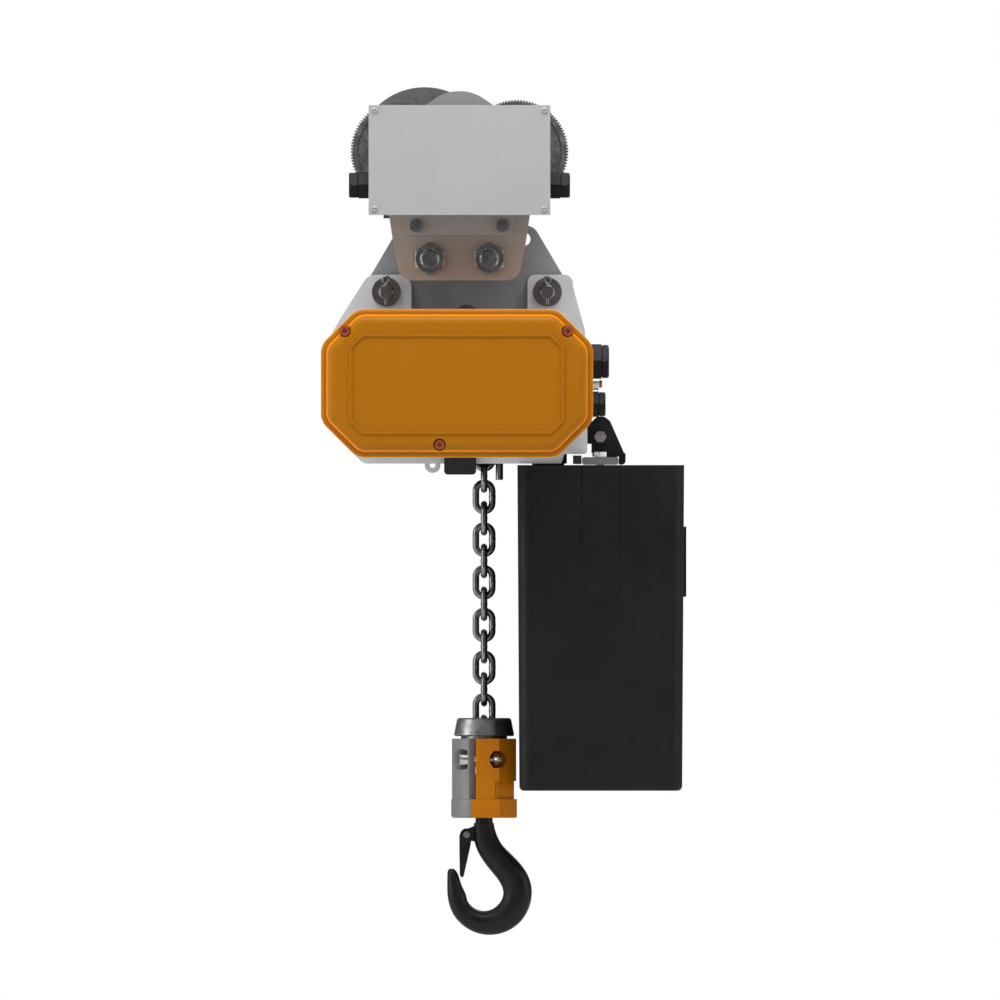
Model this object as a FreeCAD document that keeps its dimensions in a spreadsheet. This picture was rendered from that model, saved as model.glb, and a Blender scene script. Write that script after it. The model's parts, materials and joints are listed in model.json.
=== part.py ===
"""Electric chain hoist hanging from a motorised beam trolley.

Millimetres, +Z up, front towards -Y, the beam runs along X.
The origin is on the beam's running surface, midway between the trolley plates.
"""
import FreeCAD, Part
import math
import os
import re
import Sketcher
from FreeCAD import Placement, Rotation, Vector

SIZES = {
    # trolley plates, tie bolts and wheels
    "plate_inner": 66, "plate_thick": 10, "plate_foot": 61, "plate_bottom": -92, "plate_wide": 80,
    "plate_shoulder": 58.9, "plate_apex": 114.9, "plate_crown": 45, "plate_corner": 15,
    "wheel_x": 59.5, "wheel_z": 42, "tread_radius": 42, "tread_start": 28, "rim_start": 52, "rim_width": 8,
    "wheel_teeth": 106, "face_step": 46.8, "fine_module": 1, "axle_radius": 10, "nut_flats": 30, "nut_high": 16,
    "wheel_bearing": 21, "tie_x": 31, "tie_z": -69.5, "spacer_radius": 13.5,
    # travel drive behind the rear plate
    "pinion_teeth": 14, "travel_gear_teeth": 59, "travel_motor_z": 38, "case_radius": 71,
    "case_start": 99, "case_end": 142, "can_radius": 61, "can_end": 222, "case_wall": 4,
    "boss_ring": 59, "boss_radius": 8, "travel_shaft": 6,
    # control box in front of the front plate
    "box_half": 94.5, "box_bottom": -24, "box_top": 90.4, "box_back": -104, "box_front": -178,
    "lid_thick": 6, "sheet_thick": 1.5, "lid_screw_x": 88.4, "lid_screw_low": -17.5, "lid_screw_high": 85,
    "gland_z": 7, "gland_flats": 27.5, "gland_neck": 9.5, "gland_cap": 106, "gland_reach": 115, "cable_hole": 5,
    "bracket_half": 56, "bracket_bottom": -44.8, "bracket_thick": 5, "bracket_bolt_x": 45, "bracket_bolt_z": -35,
    "corner_bottom": -272.6, "tab_x": -28, "tab_z": -284, "tab_outer": 8.2, "tab_hole": 3,
    "inlet_face": 134, "inlet_y": -46, "big_z": -176.3, "big_flats": 36, "big_cap": 148.6, "big_reach": 155.6,
    "big_neck": 14, "small_z": -220.7, "small_flats": 26.5, "small_cap": 145.5, "small_reach": 152, "small_neck": 10,
    # suspension plate and its pins
    "hang_x": 7.6, "hang_half": 10, "hang_top": -35, "hang_bottom": -123.5, "eye_x": 66.8, "eye_z": -49, "eye_radius": 7,
    "pin_half_span": 83.8, "pin_z": -104, "pin_radius": 8, "washer_radius": 15, "washer_thick": 3.5,
    "ear_slot": 12, "ear_outer": 32, "ear_top": -86,
    # hoist castings and covers
    "cover_left": -144.2, "cover_right": 139, "cover_top": -121.7, "cover_bottom": -276.1, "cover_cut": 37.4,
    "cover_round": 20, "casting_inset": 3, "casting_wall": 6, "housing_front": -70, "housing_rear": 70,
    "gearbox_front": -130, "seal_thick": 2, "cover_front": -200, "panel_step": 10.5, "field_round": 9.5, "rim_band": 5.7,
    "cover_wall": 4, "motor_end": 190, "rear_end": 235, "housing_bottom": -282.5,
    "fin_count": 12, "fin_thick": 3, "stop_left": -16, "stop_right": 17.4, "stop_bottom": -294,
    "fin_deep": 8, "cover_screw": 5,
    # gear train and load wheel
    "motor_x": -38, "motor_z": -200, "load_x": 59.76, "load_z": -206.2, "first_gear_teeth": 86,
    "last_gear_teeth": 66, "coarse_module": 1.5, "first_start": -113, "first_width": 11, "last_start": -98,
    "last_width": 15, "mid_shaft": 7, "rotor_shaft": 9, "load_shaft": 14, "rotor_radius": 45, "stator_radius": 62,
    "rotor_start": 88, "rotor_end": 168, "flange_radius": 40, "seat_radius": 30, "groove_radius": 21,
    "wheel_half": 18, "link_lane": 12.9, "groove_half": 4.2, "pockets": 5, "lug_reach": 36.3, "lug_half": 2.1,
    # chain and hook block
    "hanging_links": 17, "pile_x": 84, "pile_step": 30, "pile_height": 14,
    "wire": 7, "pitch": 22.2, "inner_half": 11.25, "inner_wide": 10, "chain_x": 25.6, "first_link": -295,
    "block_half": 33.4, "block_flat": 15.7, "block_top": -568.5, "block_flange": -631.4, "block_bottom": -651,
    "flange_lip": 0.8, "split_x": -8.9, "flange_split": -13.5, "split_gap": 0.3, "cap_top": -547,
    "cap_bottom": -566, "cap_small": 28.2, "cap_large": 31.2, "chain_bore": 13.5, "clamp_y": 22, "clamp_z": -590.2,
    "clamp_radius": 4, "head_pocket": 10.8, "head_seat": -17.2, "nut_seat": 9.3, "pocket_half": 8.9,
    "pocket_floor": 14, "chain_pin": 4, "ledge_z": -629, "bearing_thick": 11.5, "nut_top": -605, "shank": 9,
    "thread": 8, "neck_z": -656, "hook_pivot_x": 7.4, "hook_pivot_z": -668.5, "rivet": 2.2, "knuckle": 6.8,
    "bowl_x": 25.8, "bowl_z": -728, "bowl_radius": 19.6, "outer_x": 31.4, "outer_z": -728.8, "outer_radius": 43.9,
    "latch_tip_z": -712.5, "latch_half": 6.4, "latch_sheet": 1.8,
    # chain container and its bracket
    "container_left": 60.2, "container_right": 233.7, "container_half": 77, "container_top": -284,
    "container_bottom": -622.8, "container_wall": 4, "container_taper": 0.35, "container_corner": 13,
    "hanger_x": 146.4, "hanger_z": -254.6, "hanger_half": 30, "hanger_sheet": 5, "bar_half": 19, "bar_top": -275.7,
    "bar_high": 8,
    # limit switch rod
    "rod_x": 41.5, "rod_y": -19, "rod_radius": 3.9, "rod_end": -299.5,
}

ALONG_X = Rotation(Vector(0, 1, 0), 90)
ALONG_Y = Rotation(Vector(1, 0, 0), -90)
UPRIGHT = Rotation()
TURNS = {"x": ALONG_X, "y": ALONG_Y, "z": UPRIGHT}
PLANE_NORMALS = {"XY_Plane": "z", "XZ_Plane": "y", "YZ_Plane": "x"}

doc = FreeCAD.newDocument("chain_hoist")
sheet = doc.addObject("Spreadsheet::Sheet", "Sizes")
for row, (alias, number) in enumerate(SIZES.items(), 1):
    sheet.set(f"A{row}", alias)
    sheet.set(f"B{row}", str(number))
    sheet.setAlias(f"B{row}", alias)
doc.recompute()

pieces = []


# ---------------------------------------------------------------- building helpers
def formula(text):
    """Text in which each size's name stands as its cell."""
    return re.sub(r"[A-Za-z_]\w*", lambda word: "Sizes." + word[0] if word[0] in SIZES else word[0], str(text))


def value(text):
    """The number that a formula gives."""
    return float(sheet.evalExpression(formula(text)))


def bind(thing, **formulas):
    for name, text in formulas.items():
        thing.setExpression(name, formula(text))
    return thing


def place(thing, x=0, y=0, z=0, turn=UPRIGHT):
    thing.Placement = Placement(Vector(), turn)
    for axis, text in zip("xyz", (x, y, z)):
        thing.setExpression("Placement.Base." + axis, formula(text))
    return thing


def piece(thing, label):
    """Marks a finished sub-part: its label names its node and its file."""
    thing.Label = label
    pieces.append(thing)
    return thing


def box(x, y, z):
    """A block between two formulas on each axis."""
    block = doc.addObject("Part::Box", "Block")
    bind(block, Length=f"({x[1]})-({x[0]})", Width=f"({y[1]})-({y[0]})", Height=f"({z[1]})-({z[0]})")
    return place(block, x[0], y[0], z[0])


def at(axis, start, across, up):
    """Coordinates of a start point on an axis through (across, up) in its normal plane."""
    return {"x": (start, across, up), "y": (across, start, up), "z": (across, up, start)}[axis]


def rod(radius, start, end, across, up, axis="y"):
    """A cylinder along an axis, from start to end, through (across, up)."""
    cylinder = bind(doc.addObject("Part::Cylinder", "Rod"), Radius=radius, Height=f"({end})-({start})")
    return place(cylinder, *at(axis, start, across, up), TURNS[axis])


def ring(inner, outer, start, end, across, up, axis="y"):
    return cut(rod(outer, start, end, across, up, axis), rod(inner, start, end, across, up, axis))


def hexagon(flats, start, end, across, up, axis="y", spin=30):
    """A hexagonal prism. A spin of 30 degrees puts corners at its top and bottom."""
    prism = doc.addObject("Part::Prism", "Hexagon")
    prism.Polygon = 6
    bind(prism, Circumradius=f"({flats})/sqrt(3)", Height=f"({end})-({start})")
    return place(prism, *at(axis, start, across, up), TURNS[axis] * Rotation(Vector(0, 0, 1), spin))


def fuse(*solids):
    joined = doc.addObject("Part::MultiFuse", "Joined")
    joined.Shapes = list(solids)
    joined.Refine = True
    return joined


def cut(base, *tools):
    made = doc.addObject("Part::Cut", "Cut")
    made.Base = base
    made.Tool = tools[0] if len(tools) == 1 else fuse(*tools)
    return made


def common(base, tool):
    made = doc.addObject("Part::Common", "Common")
    made.Base = base
    made.Tool = tool
    return made


def group(*solids):
    """Separate solids that share one node."""
    made = doc.addObject("Part::Compound", "Group")
    made.Links = list(solids)
    return made


def body_plane(body, role):
    return next(f for f in body.Origin.OriginFeatures if f.Role == role)


def draw(body, role, outline, holes=()):
    """A sketch of a closed polygon and round holes whose points follow the sheet."""
    sketch = body.newObject("Sketcher::SketchObject", "Outline")
    sketch.AttachmentSupport = [(body_plane(body, role), "")]
    sketch.MapMode = "FlatFace"
    corners = [Vector(value(a), value(b), 0) for a, b in outline]
    count = len(corners)
    for i in range(count):
        sketch.addGeometry(Part.LineSegment(corners[i], corners[(i + 1) % count]))
    for i in range(count):
        sketch.addConstraint(Sketcher.Constraint("Coincident", i, 2, (i + 1) % count, 1))
    for i, (a, b) in enumerate(outline):
        pin_down(sketch, i, 1, corners[i], a, b)
    for a, b, radius in holes:
        middle = Vector(value(a), value(b), 0)
        hole = sketch.addGeometry(Part.Circle(middle, Vector(0, 0, 1), value(radius)))
        pin_down(sketch, hole, 3, middle, a, b)
        mark = sketch.addConstraint(Sketcher.Constraint("Radius", hole, value(radius)))
        sketch.setExpression(f"Constraints[{mark}]", formula(radius))
    return sketch


def pin_down(sketch, geometry, point, position, a, b):
    """Ties one sketch point to two formulas, measured from the sketch's own origin."""
    for kind, coordinate, text in (("DistanceX", position.x, a), ("DistanceY", position.y, b)):
        mark = sketch.addConstraint(Sketcher.Constraint(kind, -1, 1, geometry, point, coordinate))
        sketch.setExpression(f"Constraints[{mark}]", formula(text))


def profile(outline, low, high, role="XZ_Plane", rounds=None, holes=()):
    """A padded outline between two planes. rounds gives a fillet radius for chosen corners."""
    body = doc.addObject("PartDesign::Body", "Profile")
    pad = body.newObject("PartDesign::Pad", "Pad")
    pad.Profile = draw(body, role, outline, holes)
    bind(pad, Length=f"({high})-({low})")
    doc.recompute()
    by_radius = {}
    for corner, radius in (rounds or {}).items():
        by_radius.setdefault(radius, []).append(corner)
    for radius, corners in by_radius.items():
        places = [[value(text) for text in outline[corner]] for corner in corners]
        names = [name for name, a, b in upright_edges(body, role) if near(a, b, places)]
        fillet_edges(body, names, radius)
    start = {"y": (0, high, 0), "z": (0, 0, low), "x": (low, 0, 0)}[PLANE_NORMALS[role]]
    return place(body, *start)


def near(a, b, places, reach=1.0):
    return any(math.hypot(a - p, b - q) < reach for p, q in places)


def upright_edges(body, role):
    """Names and plane coordinates of the straight edges that stand on a body's sketch plane."""
    normal = PLANE_NORMALS[role]
    found = []
    for number, edge in enumerate(body.Tip.Shape.Edges, 1):
        if len(edge.Vertexes) != 2:
            continue
        first, last = edge.Vertexes[0].Point, edge.Vertexes[1].Point
        run = last - first
        flat = {"x": (first.y, first.z), "y": (first.x, first.z), "z": (first.x, first.y)}[normal]
        along = abs(getattr(run, normal))
        if along > 0.99 * run.Length:
            found.append((f"Edge{number}", *flat))
    return found


def fillet_edges(body, names, radius, kind="PartDesign::Fillet"):
    feature = body.newObject(kind, "Dressing")
    feature.Base = (body.Tip, names) if body.Tip is not feature else (feature.BaseFeature, names)
    bind(feature, **{"Radius" if kind.endswith("Fillet") else "Size": radius})
    doc.recompute()
    return feature


def dress(body, chosen, radius, kind="PartDesign::Fillet"):
    """Rounds or bevels every edge for which chosen(edge) is true, in the body's own frame."""
    names = [f"Edge{n}" for n, edge in enumerate(body.Tip.Shape.Edges, 1) if chosen(edge)]
    return fillet_edges(body, names, radius, kind)


def turned(outline, start, across, up, axis="y"):
    """A turned piece: outline points are (radius, distance along the axis from start)."""
    body = doc.addObject("PartDesign::Body", "Turned")
    spin = body.newObject("PartDesign::Revolution", "Spin")
    spin.Profile = draw(body, "XZ_Plane", outline)
    spin.ReferenceAxis = (spin.Profile[0], ["V_Axis"])
    spin.Angle = 360
    return place(body, *at(axis, start, across, up), TURNS[axis])


# ---------------------------------------------------------------- gears
ADDENDUM, DEDENDUM, BACKLASH, PRESSURE = 0.8, 1.1, 0.12, math.radians(20)


def involute_angle(base, radius):
    """Polar angle of the involute of a base circle where it reaches a radius."""
    slope = math.sqrt(max((radius / base) ** 2 - 1, 0))
    return slope - math.atan(slope)


def gear_face(teeth, module, phase):
    """The face of a spur gear in the XZ plane, one tooth centred at the phase angle from +X towards +Z."""
    pitch_radius = teeth * module / 2
    base = pitch_radius * math.cos(PRESSURE)
    root, tip = pitch_radius - DEDENDUM * module, pitch_radius + ADDENDUM * module
    start = max(base, root)
    half = math.pi / 2 / teeth - BACKLASH / 2 / pitch_radius + involute_angle(base, pitch_radius)
    step = 2 * math.pi / teeth

    def point(radius, angle):
        return Vector(radius * math.cos(angle), 0, radius * math.sin(angle))

    edges = []
    for tooth in range(teeth):
        middle = phase + tooth * step
        root_angle = half - involute_angle(base, start)
        tip_angle = half - involute_angle(base, tip)
        half_way = (start + tip) / 2
        side = half - involute_angle(base, half_way)
        low, high = point(root, middle - root_angle), point(tip, middle - tip_angle)
        edges.append(Part.Arc(low, point(half_way, middle - side), high).toShape())
        far = point(tip, middle + tip_angle)
        edges.append(Part.Arc(high, point(tip, middle), far).toShape())
        foot = point(root, middle + root_angle)
        edges.append(Part.Arc(far, point(half_way, middle + side), foot).toShape())
        following = point(root, middle + step - root_angle)
        edges.append(Part.Arc(foot, point(root, middle + step / 2), following).toShape())
    return Part.Face(Part.Wire(edges))


def gear(teeth, module, phase, low, high, x, z):
    """A spur gear blank between two planes, turning about a Y axis through (x, z)."""
    face = doc.addObject("Part::Feature", "GearFace")
    face.Shape = gear_face(int(value(teeth)), value(module), phase)
    blank = doc.addObject("Part::Extrusion", "GearBlank")
    blank.Base = face
    blank.DirMode = "Custom"
    blank.Dir = Vector(0, 1, 0)
    blank.Solid = True
    bind(blank, LengthFwd=f"({high})-({low})")
    return place(blank, x, low, z)


def meshing_phase(teeth, phase, other_teeth, direction):
    """Phase of a second gear that lies in a direction from the first and meshes with it."""
    ahead = (direction - phase) * teeth / (2 * math.pi)
    return direction + math.pi - 2 * math.pi / other_teeth * (0.5 - ahead)


def bearing(bore, outer, low, high, across, up, axis="y"):
    """A sealed ball bearing as one ring with a shallow seal recess on each side."""
    deep = 0.8
    body = ring(bore, outer, low, high, across, up, axis)
    lands = (f"{bore}+({outer}-{bore})*0.25", f"{outer}-({outer}-{bore})*0.22")
    first = ring(*lands, low, f"({low})+{deep}", across, up, axis)
    second = ring(*lands, f"({high})-{deep}", high, across, up, axis)
    return cut(body, first, second)


# ---------------------------------------------------------------- trolley
def mirrored(outline):
    """Adds the left half, in reverse order, to the right half of a symmetrical outline."""
    return outline + [(f"-({a})", b) for a, b in reversed(outline) if a != 0]


def trolley():
    outer = "plate_inner+plate_thick"
    half = [("plate_foot", "plate_bottom"), (68, -59.4), (73, -25.7), ("plate_wide", 0),
            ("plate_wide", "plate_shoulder"), (0, "plate_apex")]
    outline = mirrored(half)
    last = len(outline) - 1
    rounds = {0: "plate_corner", last: "plate_corner", 4: 20, 6: 20, 5: "plate_crown", 3: 30, 7: 30}
    axles = [(side, "wheel_z", "axle_radius+0.05") for side in ("wheel_x", "-wheel_x")]
    ties = [(side, "tie_z", "axle_radius+0.05") for side in ("tie_x", "-tie_x")]
    front_holes = [(side, "bracket_bolt_z", 4.1) for side in ("bracket_bolt_x", "-bracket_bolt_x")]
    rear_holes = [(0, PINION_Z, "travel_shaft+0.05")]
    front = profile(outline, f"-({outer})", "-plate_inner", rounds=rounds, holes=axles + ties + front_holes)
    piece(front, "trolley_plate_front")
    rear = profile(outline, "plate_inner", outer, rounds=rounds, holes=axles + ties + rear_holes)
    bolts = [rod(3.3, "plate_inner", outer, x, z) for x, z in GEARBOX_BOLTS]
    piece(cut(rear, *bolts), "trolley_plate_rear")

    reach = f"{outer}+nut_high+5"
    rods = [chamfered_rod("axle_radius", f"-({reach})", reach, x, "tie_z") for x in ("tie_x", "-tie_x")]
    piece(group(*rods), "tie_bolts")
    spacers, studs, nuts, bearings, clips = [], [], [], [], []
    for sign in ("-", ""):
        for x in ("tie_x", "-tie_x"):
            ends = sorted((f"{sign}hang_half", f"{sign}plate_inner"), key=value)
            spacers.append(ring("axle_radius+0.3", "spacer_radius", *ends, x, "tie_z"))
            nuts.append(plate_nut(sign, outer, x, "tie_z"))
        for x in ("wheel_x", "-wheel_x"):
            nuts.append(plate_nut(sign, outer, x, "wheel_z"))
            studs.append(stub_axle(sign, reach, x))
            ends = sorted((f"{sign}34", f"{sign}46"), key=value)
            bearings.append(bearing("axle_radius", "wheel_bearing", *ends, x, "wheel_z"))
    piece(group(*spacers), "tie_spacers")
    piece(group(*nuts), "plate_nuts")
    piece(group(*studs), "wheel_axles")
    return bearings


def chamfered_rod(radius, low, high, across, up, axis="y", bevel=2):
    """A rod with a small bevel at both ends."""
    length = f"(({high})-({low}))"
    return turned([(0, 0), (f"{radius}-{bevel}", 0), (radius, bevel), (radius, f"{length}-{bevel}"),
                   (f"{radius}-{bevel}", length), (0, length)], low, across, up, axis)


def hex_nut(flats, low, high, bore, across, up, axis="y", spin=30):
    """A hexagon nut with turned bevels on both faces."""
    wide, tall = f"({flats})/sqrt(3)+0.2", f"({high})-({low})"
    bevels = turned([(0, 0), (f"({flats})/2-0.3", 0), (wide, 1.6), (wide, f"{tall}-1.6"),
                     (f"({flats})/2-0.3", tall), (0, tall)], low, across, up, axis)
    body = common(hexagon(flats, low, high, across, up, axis, spin), bevels)
    return cut(body, rod(bore, low, high, across, up, axis))


def plate_nut(sign, outer, x, z):
    low, high = sorted((f"{sign}({outer})", f"{sign}({outer}+nut_high)"), key=value)
    return hex_nut("nut_flats", low, high, "axle_radius+0.05", x, z)


def stub_axle(sign, reach, x):
    """A wheel stud with a collar between the bearing and the side plate, and a clip head inside."""
    def ends(first, last):
        return sorted((f"{sign}{first}", f"{sign}({last})"), key=value)
    return fuse(rod("axle_radius", *ends(30.5, reach), x, "wheel_z"),
                rod("axle_radius+3", *ends(46, "plate_inner"), x, "wheel_z"),
                rod("axle_radius+2.5", *ends(31, 34), x, "wheel_z"))


WHEELS = {"front_left": (-1, "-wheel_x"), "front_right": (-1, "wheel_x"),
          "rear_left": (1, "-wheel_x"), "rear_right": (1, "wheel_x")}
PINION_Z = "wheel_z-sqrt((fine_module*(wheel_teeth+pinion_teeth)/2)^2-wheel_x^2)"
TRAVEL_MOTOR_X = (f"-sqrt((fine_module*(pinion_teeth+travel_gear_teeth)/2)^2-(travel_motor_z-({PINION_Z}))^2)")
GEARBOX_BOLTS = [(x, f"({PINION_Z})+({z})") for x, z in ((22, 22), (-22, 22), (-22, -22), (22, -22))]


def track_wheels():
    """Four flanged wheels whose flanges carry gear teeth; the rear pair meshes with the travel pinion."""
    pinion_z = value(PINION_Z)
    for name, (side, x) in WHEELS.items():
        direction = math.atan2(value("wheel_z") - pinion_z, value(x))
        phase = meshing_phase(value("pinion_teeth"), 0, value("wheel_teeth"), direction) if side > 0 else 0.01
        low, high = ("rim_start", "rim_start+rim_width") if side > 0 else ("-rim_start-rim_width", "-rim_start")
        rim = gear("wheel_teeth", "fine_module", phase, low, high, x, "wheel_z")
        # the tread is slightly coned; the bore steps out for the bearing and opens towards the plate
        profile_points = [(14, 0), ("tread_radius-1.5", 0), ("tread_radius-0.4", 1.5), ("tread_radius", 22),
                          ("tread_radius", 24.5), (48, 24.5), (48, 32), ("face_step", 32), ("face_step-1.4", 30.6),
                          (26, 30.6), (26, 21), ("wheel_bearing+0.05", 21), ("wheel_bearing+0.05", 5.5), (14, 5.5)]
        if side < 0:
            profile_points = [(r, f"-({d})") for r, d in reversed(profile_points)]
        hub = turned(profile_points, f"{side}*tread_start", x, "wheel_z")
        inside = rod(47, low, high, x, "wheel_z")
        piece(fuse(hub, cut(rim, inside)), f"track_wheel_{name}")


def travel_drive():
    pinion_teeth = value("pinion_teeth")
    pinion = gear("pinion_teeth", "fine_module", 0, "rim_start-0.5", "rim_start+rim_width+0.5", 0, PINION_Z)
    direction = math.atan2(value("travel_motor_z") - value(PINION_Z), value(TRAVEL_MOTOR_X))
    big = gear("travel_gear_teeth", "fine_module", 0, 106, 114, 0, PINION_Z)
    shaft = rod("travel_shaft", 50, 133, 0, PINION_Z)
    hub = rod(10, 104, 117, 0, PINION_Z)
    lightening = [rod(4, 105, 115, f"{18 * math.cos(a):.4f}", f"({PINION_Z})+{18 * math.sin(a):.4f}")
                  for a in (math.pi / 3 * i for i in range(6))]
    piece(cut(fuse(pinion, big, shaft, hub), *lightening), "travel_pinion")

    phase = meshing_phase(value("travel_gear_teeth"), 0, pinion_teeth, direction)
    small = gear("pinion_teeth", "fine_module", phase, 105, 115, TRAVEL_MOTOR_X, "travel_motor_z")
    spindle = rod("travel_shaft-0.5", 103.5, 208, TRAVEL_MOTOR_X, "travel_motor_z")
    drum = rod(34, 154, 194, TRAVEL_MOTOR_X, "travel_motor_z")
    piece(fuse(small, spindle, drum), "travel_rotor")
    stator = ring(35, "can_radius-case_wall-0.2", 152, 196, TRAVEL_MOTOR_X, "travel_motor_z")

    spot = (TRAVEL_MOTOR_X, "travel_motor_z")
    shell = cut(rod("case_radius", "case_start", "case_end", *spot),
                rod("case_radius-3.5", "case_start+4", "case_end-6", *spot))
    neck = rod(36, "plate_inner+plate_thick", "case_start", 0, PINION_Z)
    foot = box((-79, -60), (104, 128), (-27.5, -8))
    bosses = []
    for i in range(6):
        angle = math.radians(90 + 60 * i)
        across = f"({TRAVEL_MOTOR_X})+boss_ring*{math.cos(angle):.6f}"
        up = f"travel_motor_z+boss_ring*{math.sin(angle):.6f}"
        if i != 4:
            bosses.append(rod("boss_radius", "case_start-2", "case_start+3", across, up))
    holes = [rod("travel_shaft+0.05", 70, 140, 0, PINION_Z),
             rod("travel_shaft-0.45", "case_end-10", "case_end+5", *spot)]
    bolt_holes = [rod(3.3, 70, "case_start", x, z) for x, z in GEARBOX_BOLTS]
    pockets = [rod(7, "plate_inner+plate_thick+9", "case_start", x, z) for x, z in GEARBOX_BOLTS]
    case = cut(fuse(shell, neck, foot, *bosses), *holes, *bolt_holes, *pockets,
               rod("case_radius-3.5", "case_start+4", "case_end-6", *spot))
    piece(case, "travel_gearbox")

    can = cut(turned([(0, 0), ("can_radius+6", 0), ("can_radius+6", 6), ("can_radius", 8),
                      ("can_radius", "can_end-case_end-14"), ("can_radius-4", "can_end-case_end-4"),
                      ("can_radius-14", "can_end-case_end"), (0, "can_end-case_end")], "case_end", *spot),
              rod("can_radius-case_wall", "case_end", "can_end-10", *spot))
    ribs = [polar_box(3, "case_end+5", "can_end-20", "can_radius-2", "can_radius+5", 15 * i, *spot)
            for i in range(24) if not 15 <= i <= 21]
    terminal = box((f"({TRAVEL_MOTOR_X})-28", f"({TRAVEL_MOTOR_X})+28"), ("case_end+12", "can_end-18"),
                   ("travel_motor_z-can_radius-16", "travel_motor_z-can_radius+10"))
    body = cut(fuse(can, terminal, *ribs), rod("can_radius-case_wall", "case_end", "can_end-10", *spot))
    piece(body, "travel_motor_case")
    return stator


def polar_box(width, low, high, inner, outer, degrees, across, up):
    """A rib along Y that stands radially on a cylinder about the Y axis through (across, up)."""
    angle = math.radians(degrees)
    rib = bind(doc.addObject("Part::Box", "Rib"), Length=f"({outer})-({inner})", Width=width,
               Height=f"({high})-({low})")
    turn = ALONG_Y * Rotation(Vector(0, 0, 1), -degrees)
    half = width / 2
    start = (f"({across})+({inner})*{math.cos(angle):.6f}-({half * math.sin(angle):.6f})", low,
             f"({up})+({inner})*{math.sin(angle):.6f}+({half * math.cos(angle):.6f})")
    return place(rib, *start, turn)


def control_box():
    """The sheet-metal switch box of the trolley with its lid, inlets and bracket."""
    side = ("-box_half", "box_half")
    tall = ("box_bottom", "box_top")
    # five flat panels with narrow seams at the corners
    inner_depth = ("box_front", "box_back-sheet_thick-0.1")
    inner_tall = ("box_bottom+sheet_thick+0.1", "box_top-sheet_thick-0.1")
    panels = [box(side, ("box_back-sheet_thick", "box_back"), tall),
              box(side, inner_depth, ("box_top-sheet_thick", "box_top")),
              box(side, inner_depth, ("box_bottom", "box_bottom+sheet_thick"))]
    for low, high in (("-box_half", "-box_half+sheet_thick"), ("box_half-sheet_thick", "box_half")):
        panels.append(cut(box((low, high), inner_depth, inner_tall),
                          rod("gland_neck", f"{low}-1", f"{high}+1", "(box_front+box_back)/2", "gland_z", "x")))
    piece(group(*panels), "trolley_box")
    lid = box(side, ("box_front-lid_thick", "box_front"), tall)
    hollow = box(("-box_half+sheet_thick", "box_half-sheet_thick"), ("box_front-lid_thick+sheet_thick", "box_front"),
                 ("box_bottom+sheet_thick", "box_top-sheet_thick"))
    seats = [(x, z) for x in ("lid_screw_x", "-lid_screw_x") for z in ("lid_screw_low", "lid_screw_high")]
    posts = [rod(5.4, "box_front-lid_thick+sheet_thick", "box_front", x, z) for x, z in seats]
    bores = [rod(2.05, "box_front-lid_thick", "box_front", x, z) for x, z in seats]
    piece(cut(fuse(cut(lid, hollow), *posts), *bores), "trolley_box_lid")
    screws = []
    for x, z in seats:
        head = turned([(0, 0), (2.2, 0), (3.5, 1.2), (3.5, 2.2), (2, 2.2), (2, 12), (0, 12)],
                      "box_front-lid_thick-2.2", x, z)
        slot = box((f"{x}-4", f"{x}+4"), ("box_front-lid_thick-3", "box_front-lid_thick-1.4"),
                   (f"{z}-0.5", f"{z}+0.5"))
        screws.append(cut(head, slot))
    piece(group(*screws), "trolley_box_screws")

    bracket = profile([("-plate_inner-plate_thick", "bracket_bottom"),
                       ("-plate_inner-plate_thick-bracket_thick", "bracket_bottom"),
                       ("-plate_inner-plate_thick-bracket_thick", -17), ("box_back", -17), ("box_back", 60),
                       ("box_back+bracket_thick", 60), ("box_back+bracket_thick", -12),
                       ("-plate_inner-plate_thick", -12)],
                      "-bracket_half", "bracket_half", "YZ_Plane", rounds={2: 2, 7: 7, 3: 2, 6: 2})
    holes = [rod(4.1, "-plate_inner-plate_thick-bracket_thick", "-plate_inner-plate_thick", x, "bracket_bolt_z")
             for x in ("bracket_bolt_x", "-bracket_bolt_x")]
    piece(cut(bracket, *holes), "trolley_box_bracket")

    face = "-plate_inner-plate_thick-bracket_thick"
    bolts = [hex_bolt(13, 5.3, 4, face, "-plate_inner-1", x, "bracket_bolt_z", -1)
             for x in ("bracket_bolt_x", "-bracket_bolt_x")]
    bolts += [hex_bolt(10, 4, 3.25, "plate_inner+plate_thick+9", "plate_inner+1", x, z, 1)
              for x, z in GEARBOX_BOLTS]
    piece(group(*bolts), "trolley_bolts")

    gears = []
    for x in (-48, 0, 48):
        block = box((x - 20, x + 20), (-160, "box_back-sheet_thick"), (-8, 52))
        step = box((x - 20, x + 20), (-161, -148), (14, 30))
        cap = box((x - 14, x + 14), (-168, -160), (16, 44))
        gears.append(fuse(cut(block, box((x - 21, x + 21), (-161, -148), (-9, 2)),
                              box((x - 21, x + 21), (-161, -148), (44, 53))), step, cap))
    strip = box((-70, 70), (-130, "box_back-sheet_thick"), (-20, -10))
    return gears + [strip]


def hex_bolt(flats, head, radius, face, end, x, z, outward, bevel=0.6, spin=30):
    """A hexagon bolt along Y: the head stands on the face, and the shank runs to end."""
    if outward < 0:
        head_ends, shank_ends = (f"({face})-{head}", face), (face, end)
    else:
        head_ends, shank_ends = (face, f"({face})+{head}"), (end, face)
    solid = common(hexagon(flats, *head_ends, x, z, spin=spin),
                   rod(f"{flats}/sqrt(3)-{bevel / 2}", *head_ends, x, z))
    return fuse(solid, rod(radius, *shank_ends, x, z))


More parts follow.
